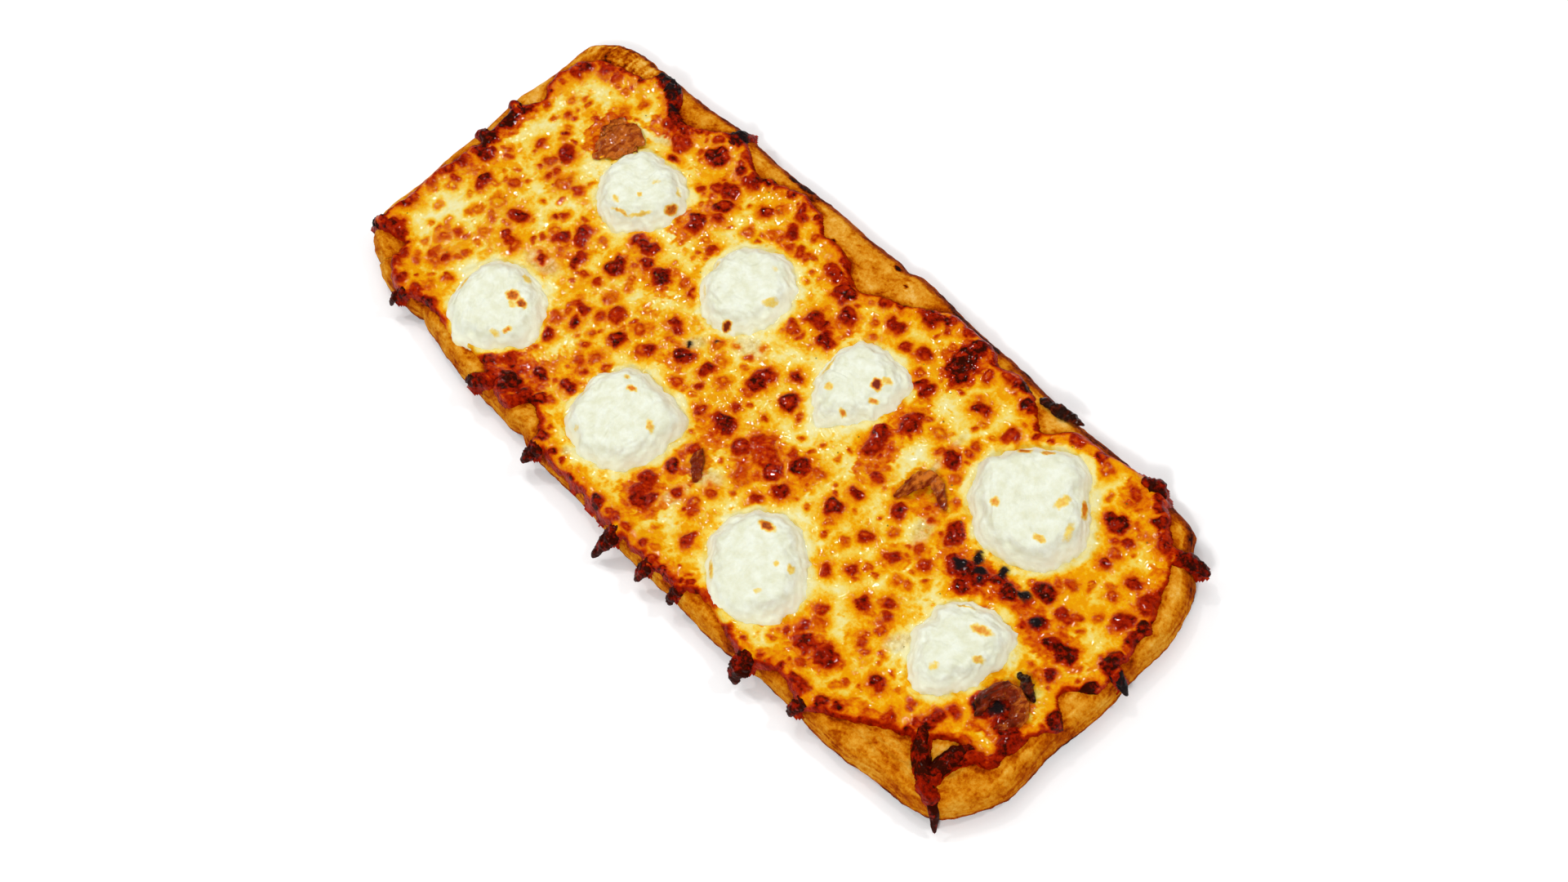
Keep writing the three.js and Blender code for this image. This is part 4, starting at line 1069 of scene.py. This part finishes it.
def swept(path, half, thick, taper, rings, sides, seed, roughness, blunt=0.5):
    """Points of a closed, lumpy drop bent along a path, its faces, and each point's way along, out of 1."""
    line, ahead = even_line(path, rings)
    side = unit(np.cross([0, 0, 1.0], ahead))
    over = np.cross(ahead, side)
    along = np.linspace(0, 1, rings)
    girth = np.clip(np.sin(np.pi * along), 0, 1) ** blunt * (1 - taper * along)
    angle = np.linspace(0, 2 * np.pi, sides, endpoint=False)
    around_x, around_y = np.cos(angle)[None], np.sin(angle)[None]
    lump = 1 + roughness * fractal(along[:, None] * 5 + seed, around_x * 1.3 + around_y + seed, seed, 3)
    across = around_x * half * girth[:, None] * lump
    up = around_y * thick * girth[:, None] * lump
    points = line[:, None] + side[:, None] * across[..., None] + over[:, None] * up[..., None]
    quads = grid_quads(sides, rings, wrap=True)
    return points.transpose(1, 0, 2).reshape(-1, 3), quads, np.tile(along, sides)


def drip_pieces(material):
    """Runs of cheese that hang from the edge or lie on the rim."""
    for i, (half, burnt, path) in enumerate(DRIPS):
        hanging = path[-1][2] < HANGS_BELOW
        wide, thick, taper = (1.25 * half, 0.95 * half, 0.6) if hanging else (half, 0.7 * half, 0.25)
        points, quads, along = swept(
            path, wide, thick, taper, rings=60, sides=32, seed=100 + i, roughness=0.6, blunt=0.36
        )
        x, y = points[:, 0], points[:, 1]
        cook = 0.98 + 0.04 * along + 0.15 * rough(x, y, 3, 120)
        char = ease(burnt * (0.5 + 0.7 * along) + 0.3 * bumps(x, y, 2, 121), 0.35, 0.8)
        none = np.zeros(len(points))
        values = {"field": none, "dark": cook, "onion": none, "char": char, "gloss": none + DRIP_GLOSS}
        make_mesh(f"cheese_drip_{i + 1}", points, quads, material, values, "cheese")


# Ricotta
def reach_at(reach, angle):
    """How far a dollop's edge is from its centre in a direction."""
    corners = [(r * math.cos(k * math.pi / 4), r * math.sin(k * math.pi / 4)) for k, r in enumerate(reach)]
    loop = smooth_loop(corners, 256)
    turn = np.arctan2(loop[:, 1], loop[:, 0]) % (2 * np.pi)
    order = np.argsort(turn)
    far = np.hypot(loop[:, 0], loop[:, 1])
    return np.interp(angle % (2 * np.pi), turn[order], far[order], period=2 * np.pi)


def dollop_distance(x, y, bx, by, reach):
    """Distance outside a dollop; negative inside."""
    return np.hypot(x - bx, y - by) - reach_at(reach, np.arctan2(y - by, x - bx))


def dollop_piece(number, dollop, material):
    """Rings round a dollop's centre, worked by the spoon and torn at the foot."""
    bx, by, reach, height, marks = dollop
    angle = np.linspace(0, 2 * np.pi, DOLLOP_SIDES, endpoint=False)
    share = np.linspace(0, 1, DOLLOP_RINGS) ** 0.8
    around_x, around_y = np.cos(angle), np.sin(angle)

    def round_noise(bends, seed):
        return noise(bends * around_x + 9 * number, bends * around_y, seed)

    edge = reach_at(reach, angle) + 1.2 * round_noise(2.5, 200)
    edge = edge + 0.35 * round_noise(5, 204)
    torn = 1.1 * round_noise(7, 201)
    torn = torn + 0.4 * round_noise(13, 202)
    out = edge[:, None] * share[None] + torn[:, None] * share[None] ** 16
    x, y = bx + out * around_x[:, None], by + out * around_y[:, None]
    inside = edge[:, None] * (1 - share[None]) * (1 + 0.3 * rough(x, y, 5, 203 + number))
    body = 1 - (1 - np.clip(inside / 9.5, 0, 1)) ** 2.4
    seat = crust_height(bx + 0 * x, by + 0 * y) + CHEESE_THICKNESS
    z = seat - 0.9 + (height + 0.5) * body
    worked = ease(inside, 0.1, 2.4)
    z = z + worked * 0.75 * rough(x, y, 8, 210 + number)
    drag_x, drag_y = x + 5 * bumps(x, y, 11, 230 + number), y + 5 * bumps(x, y, 11, 260 + number)
    along, across = turned(drag_x, drag_y, 0.9 + 1.3 * number)
    z = z + worked * 0.55 * fractal(along / 13, across / 2.4, 240 + number, 3)
    z = z + worked * 0.32 * rough(x, y, 2.8, 250 + number, 4)
    lump = 0.5 * ease(inside, 6, 2.5) * fractal(x / 3.4 + z / 2.6, y / 3.4 - z / 2.2, 280 + number, 3)
    x, y = x + lump * around_x[:, None], y + lump * around_y[:, None]
    toast = np.zeros_like(x)
    for mark in marks:
        r = spot_radius(x + 0.5 * bumps(x, y, 1.3, 260), y + 0.5 * bumps(x, y, 1.3, 261), mark)
        toast = np.maximum(toast, 1.2 * mark[5] * ease(r, 1.45, 0.5))
    # How much of the painted light the steep sides get, to lift their shade
    side = ease(inside, 5.0, 1.5)
    foot = ease(inside + 0.9 * bumps(x, y, 2.4, 270), 1.1, 0.1)
    quads = grid_quads(DOLLOP_SIDES, DOLLOP_RINGS, wrap=True)
    values = {"toast": toast, "side": side, "foot": foot}
    node = f"ricotta_{number + 1}"
    make_mesh(f"dollop_{number + 1}", as_points(x, y, z), quads, material, values, node)


# Onion
def onion_pieces(material):
    """Crinkled strips and a leaf, each burnt more towards one side."""
    for i, (half, thick, taper, burnt, (toward_x, toward_y), path) in enumerate(ONIONS):
        points, quads, _ = swept(path, half, thick, taper, rings=70, sides=40, seed=300 + i, roughness=0.5)
        # x and y are views, so each push starts where the one before left the points
        x, y = points[:, 0], points[:, 1]
        middle_x, middle_y = x.mean(), y.mean()
        points[:, 0] += 0.9 * fractal(y / 3.4 + 5, x / 3.4, 330 + i, 3)
        points[:, 1] += 0.9 * fractal(x / 3.4, y / 3.4 + 9, 340 + i, 3)
        fold = 0.5 + 0.06 * (half - 2)
        points[:, 2] += 0.5 * rough(x, y, 4, 320 + i) + fold * ridges(x / 2.6 - y / 9, y / 9, 350 + i)
        points[:, 2] += 0.6 * (0.6 - cells(x / 2.5, y / 2.5, 360 + i)[0]) * (half < WIDE_LEAF)
        lean = ((x - middle_x) * toward_x + (y - middle_y) * toward_y) / (np.ptp(x) + np.ptp(y)) * 2
        char = burnt + lean + 0.32 * rough(x, y, 3, 310 + i)
        make_mesh(f"onion_bit_{i + 1}", points, quads, material, {"char": char}, f"onion_{i + 1}")


# Stage, lights and camera
def floor():
    """A white floor, wide enough to fill the view."""
    mesh = bpy.data.meshes.new("floor")
    corners = [(x * FLOOR_HALF, y * FLOOR_HALF, 0) for x, y in ((-1, -1), (1, -1), (1, 1), (-1, 1))]
    mesh.from_pydata(corners, [], [(0, 1, 2, 3)])
    m = Material("pale_floor")
    pale, paler = FLOOR_GREYS
    m.shade({"Base Color": m.ramp(m.noise(40), [(0.3, grey(pale)), (0.7, grey(paler))]), "Roughness": 0.8})
    mesh.materials.append(m.material)
    new_object("floor", mesh)


def area_light(name, place, size, power, shines):
    """A round lamp aimed at the bread; one that doesn't shine lights it without showing in its gloss."""
    data = bpy.data.lights.new(name, "AREA")
    data.shape = "DISK"
    data.size = size
    data.energy = power
    lamp = new_object(name, data)
    lamp.visible_glossy = shines
    lamp.location = place
    lamp.rotation_euler = (-Vector(place)).to_track_quat("-Z", "Y").to_euler()


def lights():
    """An even white sky that doesn't show in the gloss, and the lamps."""
    world = bpy.data.worlds.new("studio")
    world.use_nodes = True
    sky = world.node_tree.nodes["Background"]
    sky.inputs["Color"].default_value = (1, 1, 1, 1)
    sky.inputs["Strength"].default_value = SKY_STRENGTH
    world.cycles_visibility.glossy = False
    scene.world = world
    for name, (place, size, power, shines) in LAMPS.items():
        area_light(name, place, size, power, shines)


def camera():
    """The photograph's camera, which looks at the middle of the crust, shifted and rolled."""
    a, e = CAMERA_AZIMUTH, CAMERA_ELEVATION
    back = Vector((math.sin(a) * math.cos(e), -math.cos(a) * math.cos(e), math.sin(e)))
    right = Vector((math.cos(a), math.sin(a), 0))
    across, upward = turned(right, back.cross(right), CAMERA_ROLL)
    data = bpy.data.cameras.new("camera")
    data.lens = CAMERA_FOCAL
    data.sensor_width = SENSOR_WIDTH
    data.shift_x, data.shift_y = CAMERA_SHIFT
    data.clip_start = 0.01
    view = new_object("camera", data)
    turn = Matrix((across, upward, back)).transposed().to_4x4()
    view.matrix_world = Matrix.Translation(back * CAMERA_DISTANCE * MM + SHIFT) @ turn
    scene.camera = view


def main():
    crust_piece(crust_material())
    melted = cheese_material()
    cheese_piece(melted)
    drip_pieces(melted)
    ricotta = ricotta_material()
    for number, dollop in enumerate(DOLLOPS):
        dollop_piece(number, dollop, ricotta)
    onion_pieces(onion_material())
    floor()
    lights()
    camera()
    scene.view_settings.view_transform = "Standard"


main()
